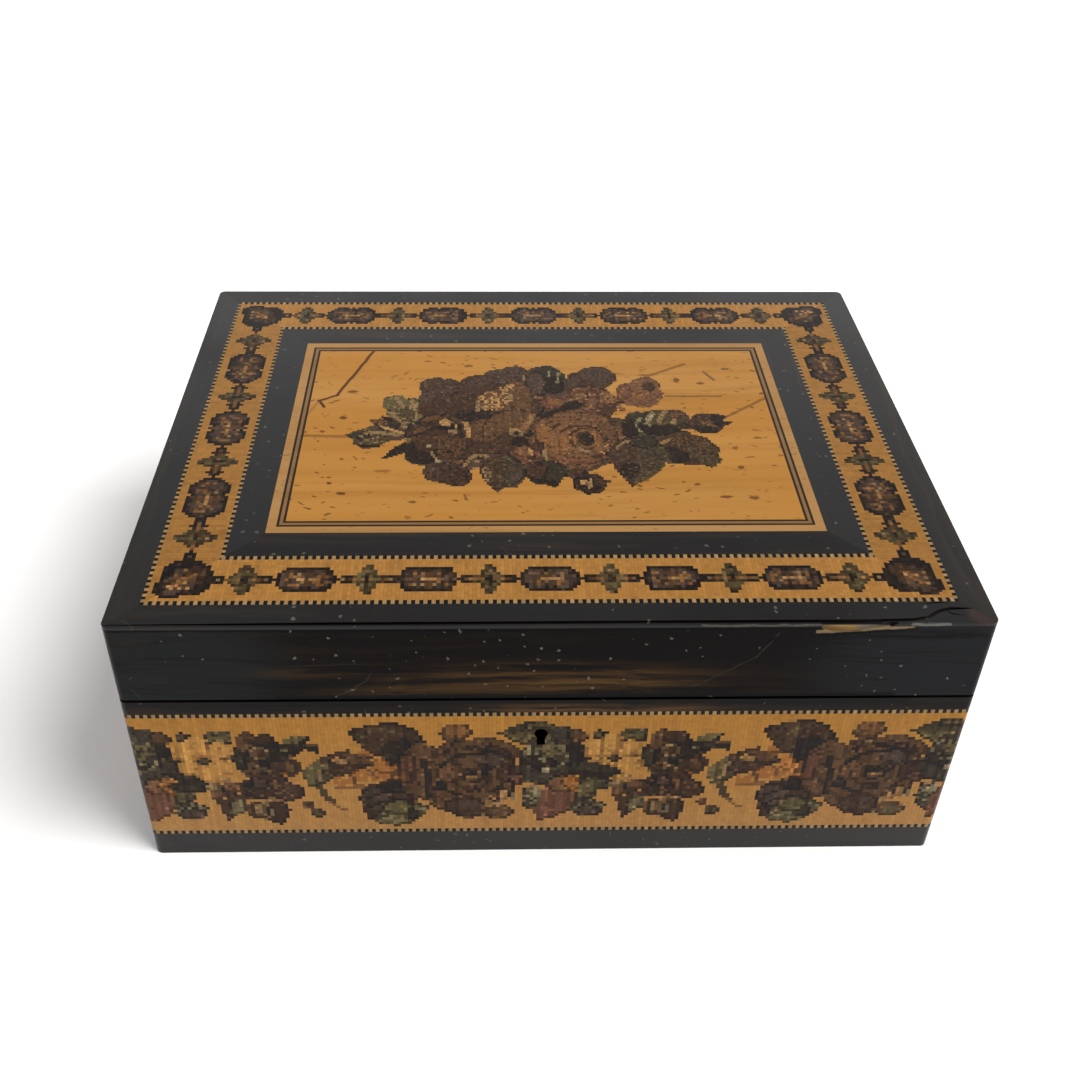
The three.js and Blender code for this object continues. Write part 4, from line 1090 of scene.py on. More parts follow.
    "stripeThree": stroke(39.2, 2.6, 42.0, 9.2, 1.6, "birch", 0.5),
    "stripeFour": stroke(43.6, 2.2, 46.4, 7.0, 1.6, "birch", 0.4),
    "stripeLow": stroke(32.0, -1.0, 35.0, -5.0, 1.1, "sage", -0.6),
    "stripeBrown": spot(45.4, 7.0, 2.3, 1.9, "walnut", 20),
    "budStem": stroke(45.6, 0.6, 51.4, 1.6, 3.4, "slate"),
    "bud": spot(54.8, 2.2, 5.9, 5.7, "rosewood", 10),
    "budLilac": spot(56.4, 2.6, 3.6, 2.6, "cherry", 30, 0.6),
    "budDark": spot(53.6, -1.6, 4.2, 2.2, "bogoak", -6),
    "budTip": leaf(56.4, 4.6, 6.4, 4.0, 10, "bogoak"),
    "budTipLow": leaf(57, 2, 7, 2.8, 6, "bogoak"),
    "broad": spot(47, -11.6, 9.8, 9.2, "rosewood", -10),
    "broadWarm": spot(51.4, -13.4, 5.0, 6.6, "moss", 10, 0.5),
    "broadBrown": spot(47.6, -8.0, 6.4, 4.6, "walnut", -20, 0.3),
    "broadPale": spot(48.4, -11.4, 2.0, 1.5, "lilac"),
    "broadDark": spot(41.4, -15.2, 5.6, 3.6, "bogoak", -24),
    "broadCorner": spot(53, -18, 4.0, 3.4, "moss"),
    "orangeStem": stroke(37.2, -10.0, 41.8, -6.4, 1.6, "yew", 0.3),
    "orangeStemPale": stroke(38.4, -9.0, 41.0, -6.8, 1.0, "birch"),
    "down": leaf(33.2, -4.4, 27.4, 19.6, -103, "moss", "lilac", "rosewood", 4.0),
    "downDark": spot(26.8, -23, 3.4, 4.2, "bogoak", -20, 0.7),
    "downRight": spot(35.2, -17.4, 3.0, 6.4, "slate", -12, 0.4),
    "downTop": spot(33.2, -8.0, 4.2, 3.8, "slate"),
    "downEdge": stroke(23.6, -11.6, 28.2, -7.2, 1.1, "birch", 0.4),
}

sticksLook = {
    "rimPale": 0.84,  # how dark the rim of a pale petal is, and of a dark one
    "rimDark": 0.68,
    "paleSum": 330,
    "dullSum": 300,
    "glints": (0.93, 1.3),  # sticks of a dark form whose chance is above this are brighter
    "dark": (0.82, 0.87, 0.78),
    "least": 8,
    "most": 235,
}


def blended(x, y, base, forms, shifts, look, shade=1.0):
    rng = np.random.default_rng(look["seed"])
    chance = rng.random(x.shape)
    colour = np.empty(x.shape + (3,))
    colour[:] = base
    if look["streak"]:
        colour *= (1 + rng.normal(0, look["streak"], x.shape[0]))[:, None, None]
    owner = np.zeros(x.shape, int)
    for shift in shifts:
        paint(forms, x, y, colour, chance, owner, shift)
    figure = owner > 0
    rim = np.zeros(x.shape, bool)  # sticks along the edge of a petal or leaf are darker
    rim[:-1] |= owner[:-1] != owner[1:]
    rim[:, 1:] |= owner[:, 1:] != owner[:, :-1]
    edging = rim & figure & (chance < look["rims"])
    darker = np.where(colour.sum(-1) > sticksLook["paleSum"], sticksLook["rimPale"], sticksLook["rimDark"])
    colour[edging] *= darker[edging][:, None]
    grain = 1 + look["grained"] * rng.normal(0, 1, x.shape[0])
    colour *= np.where(figure, grain[:, None], 1)[..., None]
    dull = figure & (colour.sum(-1) < sticksLook["dullSum"])
    above, brighter = sticksLook["glints"]
    colour[dull & (chance > above)] *= brighter
    low, high, dimmer = sticksLook["dark"]
    colour[figure & (chance > low) & (chance < high)] *= dimmer
    colour *= (1 + look["unevenness"] * (1 + figure) * rng.normal(0, 1, x.shape))[..., None]
    return np.clip(colour * look["deep"] * shade, sticksLook["least"], sticksLook["most"])


print("mosaic forms laid out")


# Sheets of sticks. A sheet runs along s and across t, in millimetres, and its front faces outwards.

sheet = {
    "depth": 1.0,
    "dentilDark": (26, 20, 16),
    "dentilLight": (152, 123, 84),
    "dentilSeed": 5,
    "dentilUnevenness": 0.05,
    "edgeShade": 0.3,  # the sides and the back of a stick, against its front
    "onPlane": 1e-7,
}


def geometry(tree, kind, inputs, **settings):
    return put(tree, "GeometryNode" + kind, inputs, **settings).outputs


def triple(tree, **parts):
    return shade(tree, "CombineXYZ", parts).outputs[0]


def finished(tree, row, finish, result):  # a row of instances made real and given its material
    real = geometry(tree, "RealizeInstances", {"Geometry": row})[0]
    dressed = geometry(tree, "SetMaterial", {"Geometry": real, "Material": finish})[0]
    tree.links.new(dressed, result["Geometry"])
    return tree


def dentilTree():
    inputs = [("Count", "Int", 10), ("Pitch", "Float", 1.0), ("Height", "Float", 1.0),
              ("Depth", "Float", 1.0), ("Finish", "Material", None)]
    tree, given, result = startTree("Geometry", "dentilRow", inputs, [("Geometry", "Geometry")])
    pitch, height, depth = given["Pitch"], given["Height"], given["Depth"]
    start = triple(tree, X=times(tree, pitch, 0.5), Y=times(tree, height, 0.5), Z=times(tree, depth, 0.5))
    inputs = {"Count": given["Count"], "Start Location": start, "Offset": triple(tree, X=pitch)}
    line = geometry(tree, "MeshLine", inputs, mode="OFFSET")[0]
    block = geometry(tree, "MeshCube", {"Size": triple(tree, X=pitch, Y=height, Z=depth)})["Mesh"]
    row = geometry(tree, "InstanceOnPoints", {"Points": line, "Instance": block})[0]
    return finished(tree, row, given["Finish"], result)


def grown(tree, values, name):  # runs a tree on an empty mesh and gives the plain mesh that it grows
    carrier = addPiece(name + "Carrier", bpy.data.meshes.new(name + "Carrier"))
    modifier = carrier.modifiers.new("grow", "NODES")
    modifier.node_group = tree
    for item in tree.interface.items_tree:
        if item.item_type == "SOCKET" and item.in_out == "INPUT" and item.name in values:
            modifier[item.identifier] = values[item.name]
    mesh = bpy.data.meshes.new_from_object(carrier.evaluated_get(bpy.context.evaluated_depsgraph_get()))
    carrier.modifiers.remove(modifier)
    bpy.data.objects.remove(carrier)
    mesh.name = name
    return mesh


dentilRow = dentilTree()


def dentils(count, pitch, height, fromS, fromT, finish):
    values = {"Count": count, "Pitch": pitch, "Height": height, "Depth": sheet["depth"], "Finish": finish}
    mesh = grown(dentilRow, values, "dentils")
    points = np.empty(len(mesh.vertices) * 3)
    mesh.vertices.foreach_get("co", points)
    points = points.reshape(-1, 3) + (fromS, fromT, 0)
    quads = np.array([face.vertices[:] for face in mesh.polygons])
    bpy.data.meshes.remove(mesh)
    block = np.arange(len(quads)) // 6
    colour = np.where((block % 2)[:, None] == 0, sheet["dentilDark"], sheet["dentilLight"]).astype(float)
    rng = np.random.default_rng(sheet["dentilSeed"])
    colour *= (1 + sheet["dentilUnevenness"] * rng.normal(0, 1, count))[block][:, None]
    colour = np.clip(colour, sticksLook["least"], sticksLook["most"])
    return points, quads[:, ::-1], colour, np.full((len(quads), 4, 2), 0.5)


def cells(lines):  # the middles between the lines
    return (lines[:-1] + lines[1:]) / 2


def stickSheet(sLines, tLines, keep, colour, sStick, tStick):
    ns, nt = len(sLines), len(tLines)
    grid = np.stack(np.meshgrid(sLines, tLines, [0, sheet["depth"]], indexing="ij"), -1)
    points = grid.transpose(2, 0, 1, 3).reshape(-1, 3)
    i, j = np.nonzero(keep)
    near = i * nt + j
    far, back = ns * nt, ns * nt + near
    quads = [np.column_stack([near, near + nt, near + nt + 1, near + 1]),
             np.column_stack([back, back + 1, back + nt + 1, back + nt])]
    owners = [near, near]
    wide = np.pad(keep, 1)
    sides = (((0, -1), near, near + nt), ((1, 0), near + nt, near + nt + 1),
             ((0, 1), near + nt + 1, near + 1), ((-1, 0), near + 1, near))
    for (di, dj), a, b in sides:  # walls where the next stick is left out
        bare = ~wide[1 + i + di, 1 + j + dj]
        quads.append(np.column_stack([b, a, a + far, b + far])[bare])
        owners.append(near[bare])
    quads, owner = np.concatenate(quads), np.concatenate(owners)
    oi, oj = owner // nt, owner % nt
    uv = np.stack([np.floor(sStick[oi]) + 0.5, np.floor(tStick[oj]) + 0.5], -1)[:, None].repeat(4, 1)
    isFront = np.arange(len(quads)) < len(near)
    corners = quads[isFront]
    layout = ((sLines, sStick, corners // nt % ns), (tLines, tStick, corners % nt))
    for axis, (lines, stick, at) in enumerate(layout):
        ends = {"left": stick[0] - 0.5, "right": stick[-1] + 0.5}
        uv[isFront, :, axis] = np.interp(lines, cells(lines), stick, **ends)[at]
    return points, quads, colour[oi, oj] * np.where(isFront, 1, sheet["edgeShade"])[:, None], uv


def layTogether(parts):
    starts = np.cumsum([0] + [len(part[0]) for part in parts])
    joined = []
    for (points, quads, colours, uv), start in zip(parts, starts):
        joined.append((points, quads + start, colours, uv))
    return [np.concatenate(lists) for lists in zip(*joined)]


def makeMosaic(name, parts, placeAt, finish, cuts=()):
    points, quads, colours, uvs = layTogether(parts)
    used, quads = np.unique(quads, return_inverse=True)
    quads = quads.reshape(-1, 4)
    mesh = bpy.data.meshes.new(name)
    mesh.from_pydata(placeAt(*points[used].T) * mm, [], quads.tolist())
    colour = np.ones((len(quads), 4, 4))
    deep = ((colours / 255) ** 2.2 - waxed["haze"]) / waxed["light"]
    colour[..., :3] = np.maximum(deep, waxed["least"])[:, None, :]
    mesh.attributes.new("sticks", "FLOAT_COLOR", "CORNER").data.foreach_set("color", colour.ravel())
    mesh.uv_layers.new(name="stickMap").data.foreach_set("uv", uvs.ravel())
    mesh.materials.append(finish)
    if cuts:
        work = bmesh.new()
        work.from_mesh(mesh)
        for point, normal in cuts:
            whole = work.verts[:] + work.edges[:] + work.faces[:]
            bmesh.ops.bisect_plane(work, geom=whole, dist=sheet["onPlane"], plane_co=Vector(point) * mm,
                                   plane_no=normal, clear_outer=True)
            bmesh.ops.holes_fill(work, edges=[edge for edge in work.edges if edge.is_boundary], sides=0)
        work.to_mesh(mesh)
        work.free()
    return addPiece(name, mesh)


def settle(piece, body, slot, *replaced):
    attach(piece, body)
    if replaced:
        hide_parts(*replaced)


def turned(side, x, y):  # from the front side to the one that is named
    return {"front": (x, y), "right": (-y, x), "back": (-x, -y), "left": (y, -x)}[side]


# Floral border round the base. It turns the corners on a small radius, so s is measured along its face.

border = {
    "halfWidth": 120.0,
    "halfDepth": 90.0,
    "corner": 2.0,
    "arcSteps": 5,
    "low": 9.5,
    "high": 63.0,
    "dentilHeight": 1.45,
    "rows": 45,
    "columns": {"front": 215, "right": 161, "back": 215, "left": 161},
    "repeat": 118.9,
    "fieldHigh": (182, 127, 58),
    "fieldLow": (182, 133, 78),
    "look": {"seed": 11, "unevenness": 0.022, "streak": 0.016, "rims": 0.85, "grained": 0.1, "deep": 0.94},
    "keyholeX": -2.25,
    "keyholeZ": 54.0,
    "keyholeRadius": 2.0,
    "slotHalf": 1.25,
    "slotDrop": 4.75,
    "fineStep": 0.3,  # finer lines round the keyhole, this far before, past and below its middle
    "fineBefore": 2.4,
    "finePast": 2.5,
    "fineBelow": 5.1,
    "rounding": 3,
}


def makeBorder(side, b, finish):
    halfRun, face = b["halfWidth"], b["halfDepth"]
    if side not in longSides:
        halfRun, face = face, halfRun
    flat, radius = halfRun - b["corner"], b["corner"]
    half = flat + radius * math.pi / 4
    columns, rows = b["columns"][side], b["rows"]
    pitch = 2 * half / columns
    low, high = b["low"] + b["dentilHeight"], b["high"] - b["dentilHeight"]

    def placeAt(s, t, d):
        turn = np.clip(abs(s) - flat, 0, None) / radius
        x = np.sign(s) * (np.clip(abs(s), 0, flat) + (radius - d) * np.sin(turn))
        y = radius - face - (radius - d) * np.cos(turn)
        return np.column_stack(turned(side, x, y) + (t,))

    arc = np.linspace(flat, half, b["arcSteps"])[:-1]
    sLines = np.concatenate([np.linspace(-half, half, columns + 1), arc, -arc])
    tLines = np.linspace(low, high, rows + 1)
    if side == "front":
        keyX, keyZ, step = b["keyholeX"], b["keyholeZ"], b["fineStep"]
        sLines = np.concatenate([sLines, np.arange(keyX - b["fineBefore"], keyX + b["finePast"], step)])
        tLines = np.concatenate([tLines, np.arange(keyZ - b["fineBelow"], keyZ + b["finePast"], step)])
    sLines, tLines = np.unique(sLines.round(b["rounding"])), np.unique(tLines.round(b["rounding"]))
    s, t = cells(sLines), cells(tLines)
    sStick, tStick = (s + half) / pitch, (t - low) / (high - low) * rows
    column, row = np.clip(sStick.astype(int), 0, columns - 1), np.clip(tStick.astype(int), 0, rows - 1)
    x, z = np.meshgrid(-half + (np.arange(columns) + 0.5) * pitch,
                       low + (np.arange(rows) + 0.5) * (high - low) / rows, indexing="ij")
    rise = ((z - low) / (high - low))[..., None]
    ground = rise * b["fieldHigh"] + (1 - rise) * b["fieldLow"]
    colour = blended(x, z, ground, floralForms, (-b["repeat"], b["repeat"], 0), b["look"])
    keep = np.ones((len(s), len(t)), bool)
    if side == "front":
        ss, tt = np.meshgrid(s - keyX, t - keyZ, indexing="ij")
        keep &= ~(np.hypot(ss, tt) < b["keyholeRadius"])
        keep &= ~((abs(ss) < b["slotHalf"]) & (tt < 0) & (tt > -b["slotDrop"]))
    parts = [stickSheet(sLines, tLines, keep, colour[np.ix_(column, row)], sStick, tStick)]
    parts += [dentils(columns, pitch, b["dentilHeight"], -half, start, finish) for start in (b["low"], high)]
    piece = makeMosaic("floral_border_" + side, parts, placeAt, finish)
    settle(piece, "base", "mosaic", "base_" + side + "_floral_mosaic")


floralMosaic = mosaicFinish("floralMosaic", True)
for side in sideNames:
    makeBorder(side, border, floralMosaic)
print("floral border laid")


# Cartouche bands on the lid, mitred at the corners

band = {
    "halfWidth": 120.0,
    "halfDepth": 90.0,
    "inset": 8.5,
    "width": 19.5,
    "rows": 15,
    "top": 97.0,
    "long": {"columns": 201, "spacing": 33.92, "pitches": 6, "dentilHeight": 1.5, "shade": 1.0},
    "short": {"columns": 147, "spacing": 35.875, "pitches": 4, "dentilHeight": 1.1, "shade": 0.93},
    "grow": {"front": 1.0, "right": 1.18, "back": 1.1, "left": 1.18},
    "field": (178, 126, 66),
    "look": {"seed": 23, "unevenness": 0.025, "streak": 0.016, "rims": 0.3, "grained": 0.1, "deep": 0.94},
}


def enlarged(form, x, y, scale):  # the same form, scaled about a point
    centres = {"x": x, "y": y, "toX": x, "toY": y, "rx": 0, "ry": 0, "width": 0}
    return dict(form, **{key: at + (form[key] - at) * scale for key, at in centres.items() if key in form})


def sideLobes(x, y, ways, knob, lobe):
    forms = {}
    for way in ways:
        label = "left" if way < 0 else "right"
        forms[label + "Neck"] = stroke(x + way * 5, y, x + way * (knob + 1.8), y, 1.6, "bogoak")
        forms[label + "Knob"] = spot(x + way * knob, y, 2.2, 2.0, "bogoak")
        forms[label + "Eye"] = spot(x + way * knob, y, 0.9, 0.8, "birch")
        forms[label + "Lobe"] = spot(x + way * 3.4, y, 4.9, lobe, "bogoak")
    return forms


def cornerForms(x, y):
    way = -1 if x > 0 else 1
    return dict(
        sideLobes(x, y, [way], 9.8, 6.6),
        body=spot(x + way * 0.4, y + 0.4, 6.2, 6.6, "bogoak"),
        shoulder=spot(x + way * 2.8, y + 2.6, 4.8, 4.4, "bogoak"),
        foot=spot(x - way * 2.2, y - 2.6, 5.2, 4.4, "bogoak", 45 * way),
        inside=spot(x + way * 0.4, y + 0.4, 4.8, 5.2, "lilac"),
        insideShoulder=spot(x + way * 2.6, y + 2.4, 3.5, 3.2, "rosewood"),
        insideFoot=spot(x - way * 1.8, y - 2.1, 4.0, 3.2, "lilac", 45 * way),
        warm=spot(x, y, 3.8, 4.0, "walnut", 0, 0.5),
        line=stroke(x - way * 2.6, y - 2.6, x + way * 2.4, y + 2.4, 1.2, "yew"),
        flecks=spot(x, y, 4.4, 4.4, "boxwood", 0, 0.16),
    )


def cartoucheForms(x, y, scale):
    forms = dict(
        sideLobes(x, y, [-1, 1], 10.9, 5.4),
        body=spot(x, y, 8.6, 4.2, "bogoak"),
        waist=stroke(x - 4.4, y, x + 4.4, y, 8.6, "bogoak"),
        inside=spot(x, y, 7.4, 3.2, "lilac"),
        insideLeft=spot(x - 3.6, y, 3.4, 4.2, "lilac"),
        lightLeft=spot(x - 3.4, y, 2.8, 3.0, "yew", 0, 0.4),
        insideRight=spot(x + 3.6, y, 3.4, 4.2, "lilac"),
        lightRight=spot(x + 3.4, y, 2.8, 3.0, "yew", 0, 0.4),
        notch=stroke(x, y - 6, x, y + 6, 1.2, "field"),
        edge=stroke(x, y - 4.9, x, y + 4.9, 1.4, "bogoak"),
        bar=stroke(x, y - 3.6, x, y + 3.6, 1.4, "walnut"),
        tan=spot(x, y, 2.6, 0.9, "boxwood"),
        flecks=spot(x, y, 6.0, 3.0, "birch", 0, 0.14),
    )
    return {label: enlarged(form, x, y, scale) for label, form in forms.items()}


def quatrefoilForms(x, y):
    return {
        "up": spot(x, y, 2.5, 6.2, "moss"),
        "body": spot(x, y, 3.5, 4.3, "moss"),
        "across": spot(x, y, 4.9, 2.7, "moss"),
        "tips": stroke(x - 5.4, y, x + 5.4, y, 0.9, "yew"),
        "light": spot(x, y, 3.2, 4.4, "greenoak", 0, 0.4),
        "dark": spot(x, y, 0.9, 1.4, "bogoak"),
        "tan": spot(x, y + 3.4, 0.7, 0.7, "birch"),
    }


def bandForms(b, run, grow):
    count, spacing, y = run["pitches"], run["spacing"], b["width"] / 2
    groups = []
    for k in range(count + 1):
        x = (k - count / 2) * spacing
        groups.append(cornerForms(x, y) if k in (0, count) else cartoucheForms(x, y, grow))
    groups += [quatrefoilForms((k - count / 2 + 0.5) * spacing, y) for k in range(count)]
    return {label + str(k): form for k, group in enumerate(groups) for label, form in group.items()}


def makeBand(side, b, finish):
    halfRun, face, run = b["halfWidth"], b["halfDepth"], b["long"]
    if side not in longSides:
        halfRun, face, run = face, halfRun, b["short"]
    half = halfRun - b["inset"]
    columns, rows = run["columns"], b["rows"]
    low, high = run["dentilHeight"], b["width"] - run["dentilHeight"]

    def placeAt(s, t, d):
        return np.column_stack(turned(side, s, t + b["inset"] - face) + (b["top"] - d,))

    sLines, tLines = np.linspace(-half, half, columns + 1), np.linspace(low, high, rows + 1)
    x, y = np.meshgrid(cells(sLines), cells(tLines), indexing="ij")
    forms = bandForms(b, run, b["grow"][side])
    colour = blended(x, y, b["field"], forms, (0,), b["look"], run["shade"])
    whole = np.ones(x.shape, bool)
    parts = [stickSheet(sLines, tLines, whole, colour, np.arange(columns) + 0.5, np.arange(rows) + 0.5)]
    parts += [dentils(columns, 2 * half / columns, low, -half, start, finish) for start in (0, high)]
    cuts = []
    for way in (-1, 1):  # mitres, from the outer corner of the band inwards
        cornerX, cornerY = turned(side, way * half, b["inset"] - face)
        awayX, awayY = turned(side, way, 1)
        cuts.append(((cornerX, cornerY, b["top"]), (awayX, awayY, 0)))
    piece = makeMosaic("cartouche_band_" + side, parts, placeAt, finish, cuts)
    settle(piece, "lid", "mosaic", "lid_" + side + "_cartouche_mosaic")


cartoucheMosaic = mosaicFinish("cartoucheMosaic")
for side in sideNames:
    makeBand(side, band, cartoucheMosaic)
print("cartouche bands laid")


# Panel and bouquet. The bouquet's outline is the union of named round and pointed forms.

panel = {
    "halfX": 76.75,
    "halfY": 46.75,
    "columns": 208,
    "rows": 127,
    "top": 97.0,
    "ground": (80, 62, 52),
    "look": {"seed": 37, "unevenness": 0.04, "streak": 0.0, "rims": 0.5, "grained": 0.02, "deep": 1.0},
}

# Round forms: middle, radius, number of petals and how deep they are cut

roundForms = {
    "peony": (-13, 18, 14, 7, 0.06), "peonyPetal": (-19.8, 23.9, 7.6, 5, 0.03),
    "peonyBrow": (-13.5, 29.5, 5.4, 5, 0.03),
    "peonyCrest": (-8, 31.7, 5.2, 5, 0.03), "openRose": (11, -7, 16.2, 9, 0.04),
    "rosePetal": (8.5, -16.5, 7, 5, 0.05),
    "dahlia": (-30, -6, 14, 9, 0.06), "dahliaPetal": (-37.5, -14, 6.3, 5, 0.04),
    "dahliaFoot": (-31.5, -23, 6, 5, 0.03),
    "dahliaEnd": (-26.8, -26, 4.8, 5, 0.04), "smallRose": (34.2, 19.3, 8, 5, 0.04),
    "smallRosePetal": (36.8, 24.5, 5.2, 5, 0.03),
    "stamenCluster": (-15, -11, 11, 6, 0.06), "curledPetals": (17.5, 14, 10, 5, 0.08),
    "orangePetal": (4, 14, 8, 5, 0.05),
    "fallenBud": (14, -29.4, 5.2, 7, 0.05), "budNeck": (9.5, -23.8, 3.2, 5, 0.03),
    "orangeCurl": (-4.5, -15.5, 5, 5, 0.04),
    "clusterFoot": (-23.8, -18.6, 4.2, 5, 0.04), "crownGap": (11.3, 23, 3.6, 5, 0.03),
    "leafRoots": (31.5, -4.8, 5.2, 5, 0.03),
    "footGap": (-6, -21.8, 3.4, 5, 0.03), "shade": (-6, 2, 15, 6, 0.02),
    "shadeLeft": (-26.5, 8.5, 13, 6, 0.02),
    "purple": (-35.3, 24.2, 5.4, 5, 0.04), "purpleSide": (-31.3, 23.2, 5.6, 5, 0.04),
    "purpleFoot": (-33, 15, 8, 5, 0.03),
    "crown": (2.5, 30.6, 6.6, 5, 0.05), "crownSide": (4, 25.5, 7.4, 5, 0.04),
    "upper": (20.3, 29.7, 6.9, 5, 0.04),
    "upperSide": (16.2, 27.6, 6.2, 5, 0.05), "striped": (34, 1.8, 7.3, 6, 0.04),
    "stripedTip": (40.5, 3.8, 6.6, 6, 0.04),
    "stripedEnd": (45, 6, 4.2, 6, 0.05), "broad": (48.2, -12.3, 8.2, 6, 0.03),
    "broadRoot": (43, -9.5, 8.4, 6, 0.03),
    "broadFoot": (41.5, -14, 5.4, 6, 0.04), "broadCorner": (52.6, -17.3, 3.8, 4, 0.08),
    "footRound": (0.3, -24, 6.2, 6, 0.04),
    "middleRound": (-11.8, -26, 5.8, 6, 0.04), "budRight": (54.8, 2.2, 5.7, 6, 0.03),
    "budLeft": (-55.5, -6, 5.4, 7, 0.06),
    "budLeftTop": (-53.5, -2.6, 4.2, 6, 0.05), "budSmall": (-50.3, 1.6, 4.0, 6, 0.06),
    "oliveRound": (-48.3, 14.2, 4.6, 5, 0.05),
    "oliveSide": (-43.5, 12, 5.2, 5, 0.05),
}

# Pointed forms: root, length, width and angle
pointedForms = {
    "olive": (-38.5, 1, 21, 12, 128), "roseLeaf": (19, 4, 12, 11, -40), "down": (33, -4, 27.8, 17.5, -103),
    "downRound": (36, -10, 20, 10, -108), "footRight": (-1, -18, 14.3, 11, -71),
    "footMiddle": (-12, -14, 19.8, 13, -98),
    "budStem": (-36, -4, 18, 6, 180), "bigBudTip": (-47, -5, 16.6, 9, 176), "sepal": (-41, -3.5, 13, 5, 139),
    "smallBudTip": (-50, 2.5, 6.8, 2.8, 163), "smallBudSide": (-50.5, 3, 4.6, 2.6, 115),
    "stem": (-39, -6.5, 15.8, 4.4, 221),
    "rightBudStem": (42, 1, 14, 5.5, 8), "budTip": (55, 5, 7.2, 3.6, 10),
    "budTipLow": (56, 1.6, 7.8, 2.8, 9),
    "budSpike": (15.5, -28.6, 5.6, 2.2, 3), "roseSepal": (23, 15, 8.6, 3.8, -45),
}


pointed = {"fullness": 0.85, "root": 0.4}  # where a leaf is widest, and how thick it starts


def bouquetMask(x, y):
    mask = np.zeros(x.shape, bool)
    for cx, cy, radius, petals, scallop in roundForms.values():
        angle = np.arctan2(y - cy, x - cx)
        mask |= np.hypot(x - cx, y - cy) < radius * (1 + scallop * np.cos(petals * angle))
    for cx, cy, length, width, angle in pointedForms.values():
        turn = math.radians(angle)
        along = (x - cx) * math.cos(turn) + (y - cy) * math.sin(turn)
        across = (y - cy) * math.cos(turn) - (x - cx) * math.sin(turn)
        t = np.clip(along / length, 0, 1)
        half = width / 2 * np.sin(math.pi * t ** pointed["fullness"]) + pointed["root"] * (1 - t)
        mask |= (along >= 0) & (along <= length) & (abs(across) <= half)
    while True:  # no two sticks meet at a corner alone
        a, b, c, d = mask[:-1, :-1], mask[1:, 1:], mask[1:, :-1], mask[:-1, 1:]
        rising, falling = a & b & ~c & ~d, c & d & ~a & ~b
        if not (rising.any() or falling.any()):
            return mask
        mask[1:, :-1] |= rising
        mask[:-1, :-1] |= falling


def makePanel(p, wood, mosaic):
    sLines = np.linspace(-p["halfX"], p["halfX"], p["columns"] + 1)
    tLines = np.linspace(-p["halfY"], p["halfY"], p["rows"] + 1)
    sStick, tStick = np.arange(p["columns"]) + 0.5, np.arange(p["rows"]) + 0.5
    x, y = np.meshgrid(cells(sLines), cells(tLines), indexing="ij")
    inlay = bouquetMask(x, y)
    colour = blended(x, y, p["ground"], bouquetForms, (0,), p["look"])

    def placeAt(s, t, d):
        return np.column_stack((s, t, p["top"] - d))

    for name, keep, finish, slot, node in (("bouquet", inlay, mosaic, "bouquet", "lid_bouquet_inlay"),
                                           ("panel", ~inlay, wood, "satinwood", "lid_panel")):
        parts = [stickSheet(sLines, tLines, keep, colour, sStick, tStick)]
        settle(makeMosaic(name, parts, placeAt, finish), "lid", slot, node)


panelCracks = (  # from, to, width, strength, colour
    ((-0.0545, 0.0560, 0.097), (-0.0683, 0.0187, 0.097), 0.0009, 1.0, (92, 58, 30)),
    ((-0.0683, 0.0187, 0.097), (-0.0740, 0.0155, 0.097), 0.0008, 1.0, (84, 54, 30)),
    ((-0.0740, 0.0155, 0.097), (-0.0718, 0.0120, 0.097), 0.0008, 1.0, (80, 50, 28)),
    ((-0.0740, 0.0155, 0.097), (-0.0790, 0.0020, 0.097), 0.0007, 0.45, (120, 80, 42)),
    ((0.077, 0.017, 0.097), (0.060, 0.0045, 0.097), 0.0009, 0.7, (110, 72, 38)),
    ((0.052, 0.038, 0.097), (0.036, 0.0290, 0.097), 0.0009, 0.7, (110, 72, 38)),
    ((0.043, 0.018, 0.097), (0.062, 0.018, 0.097), 0.0006, 0.7, (90, 60, 36)),
    ((0.058, 0.033, 0.097), (0.061, 0.028, 0.097), 0.0008, 0.7, (90, 60, 36)),
    ((-0.080, -0.004, 0.097), (-0.060, -0.005, 0.097), 0.0011, 0.75, (128, 84, 44)),
)
panelDents = (  # place, reach, strength
    ((-0.063, 0.021), (0.0022, 0.0010), 0.8), ((-0.065, 0.0055), (0.0016, 0.0010), 0.9),
    ((-0.024, 0.037), (0.0018, 0.0012), 0.7),
    ((0.048, 0.028), (0.0014, 0.0018), 0.8), ((0.037, 0.031), (0.0024, 0.0009), 0.6),
    ((0.056, 0.026), (0.0018, 0.0008), 0.8),
    ((0.062, -0.0215), (0.0014, 0.0010), 0.8), ((-0.050, -0.023), (0.0034, 0.0008), 0.5),
    ((-0.062, -0.034), (0.0018, 0.0010), 0.9),
    ((0.055, -0.036), (0.0024, 0.0009), 0.8), ((0.0635, -0.0365), (0.0020, 0.0010), 0.8),
    ((-0.040, -0.038), (0.0015, 0.0009), 0.8),
    ((-0.071, -0.002), (0.0012, 0.0009), 0.8), ((-0.066, -0.029), (0.0010, 0.0007), 0.9),
    ((0.066, 0.035), (0.0020, 0.0008), 0.7),
    ((0.070, -0.006), (0.0020, 0.0009), 0.7), ((0.047, -0.030), (0.0014, 0.0008), 0.8),
)
panelWood = plainWoodFinish("panelWood", (188, 137, 76), (168, 116, 56), "X", 0.4, 0.25, 1.0, panelCracks,
                            marks=0.85, specular=0.1, dents=panelDents, golden=0.6)
makePanel(panel, panelWood, mosaicFinish("bouquetMosaic", joint=0.6, grime=0.2))
print("panel and bouquet laid")
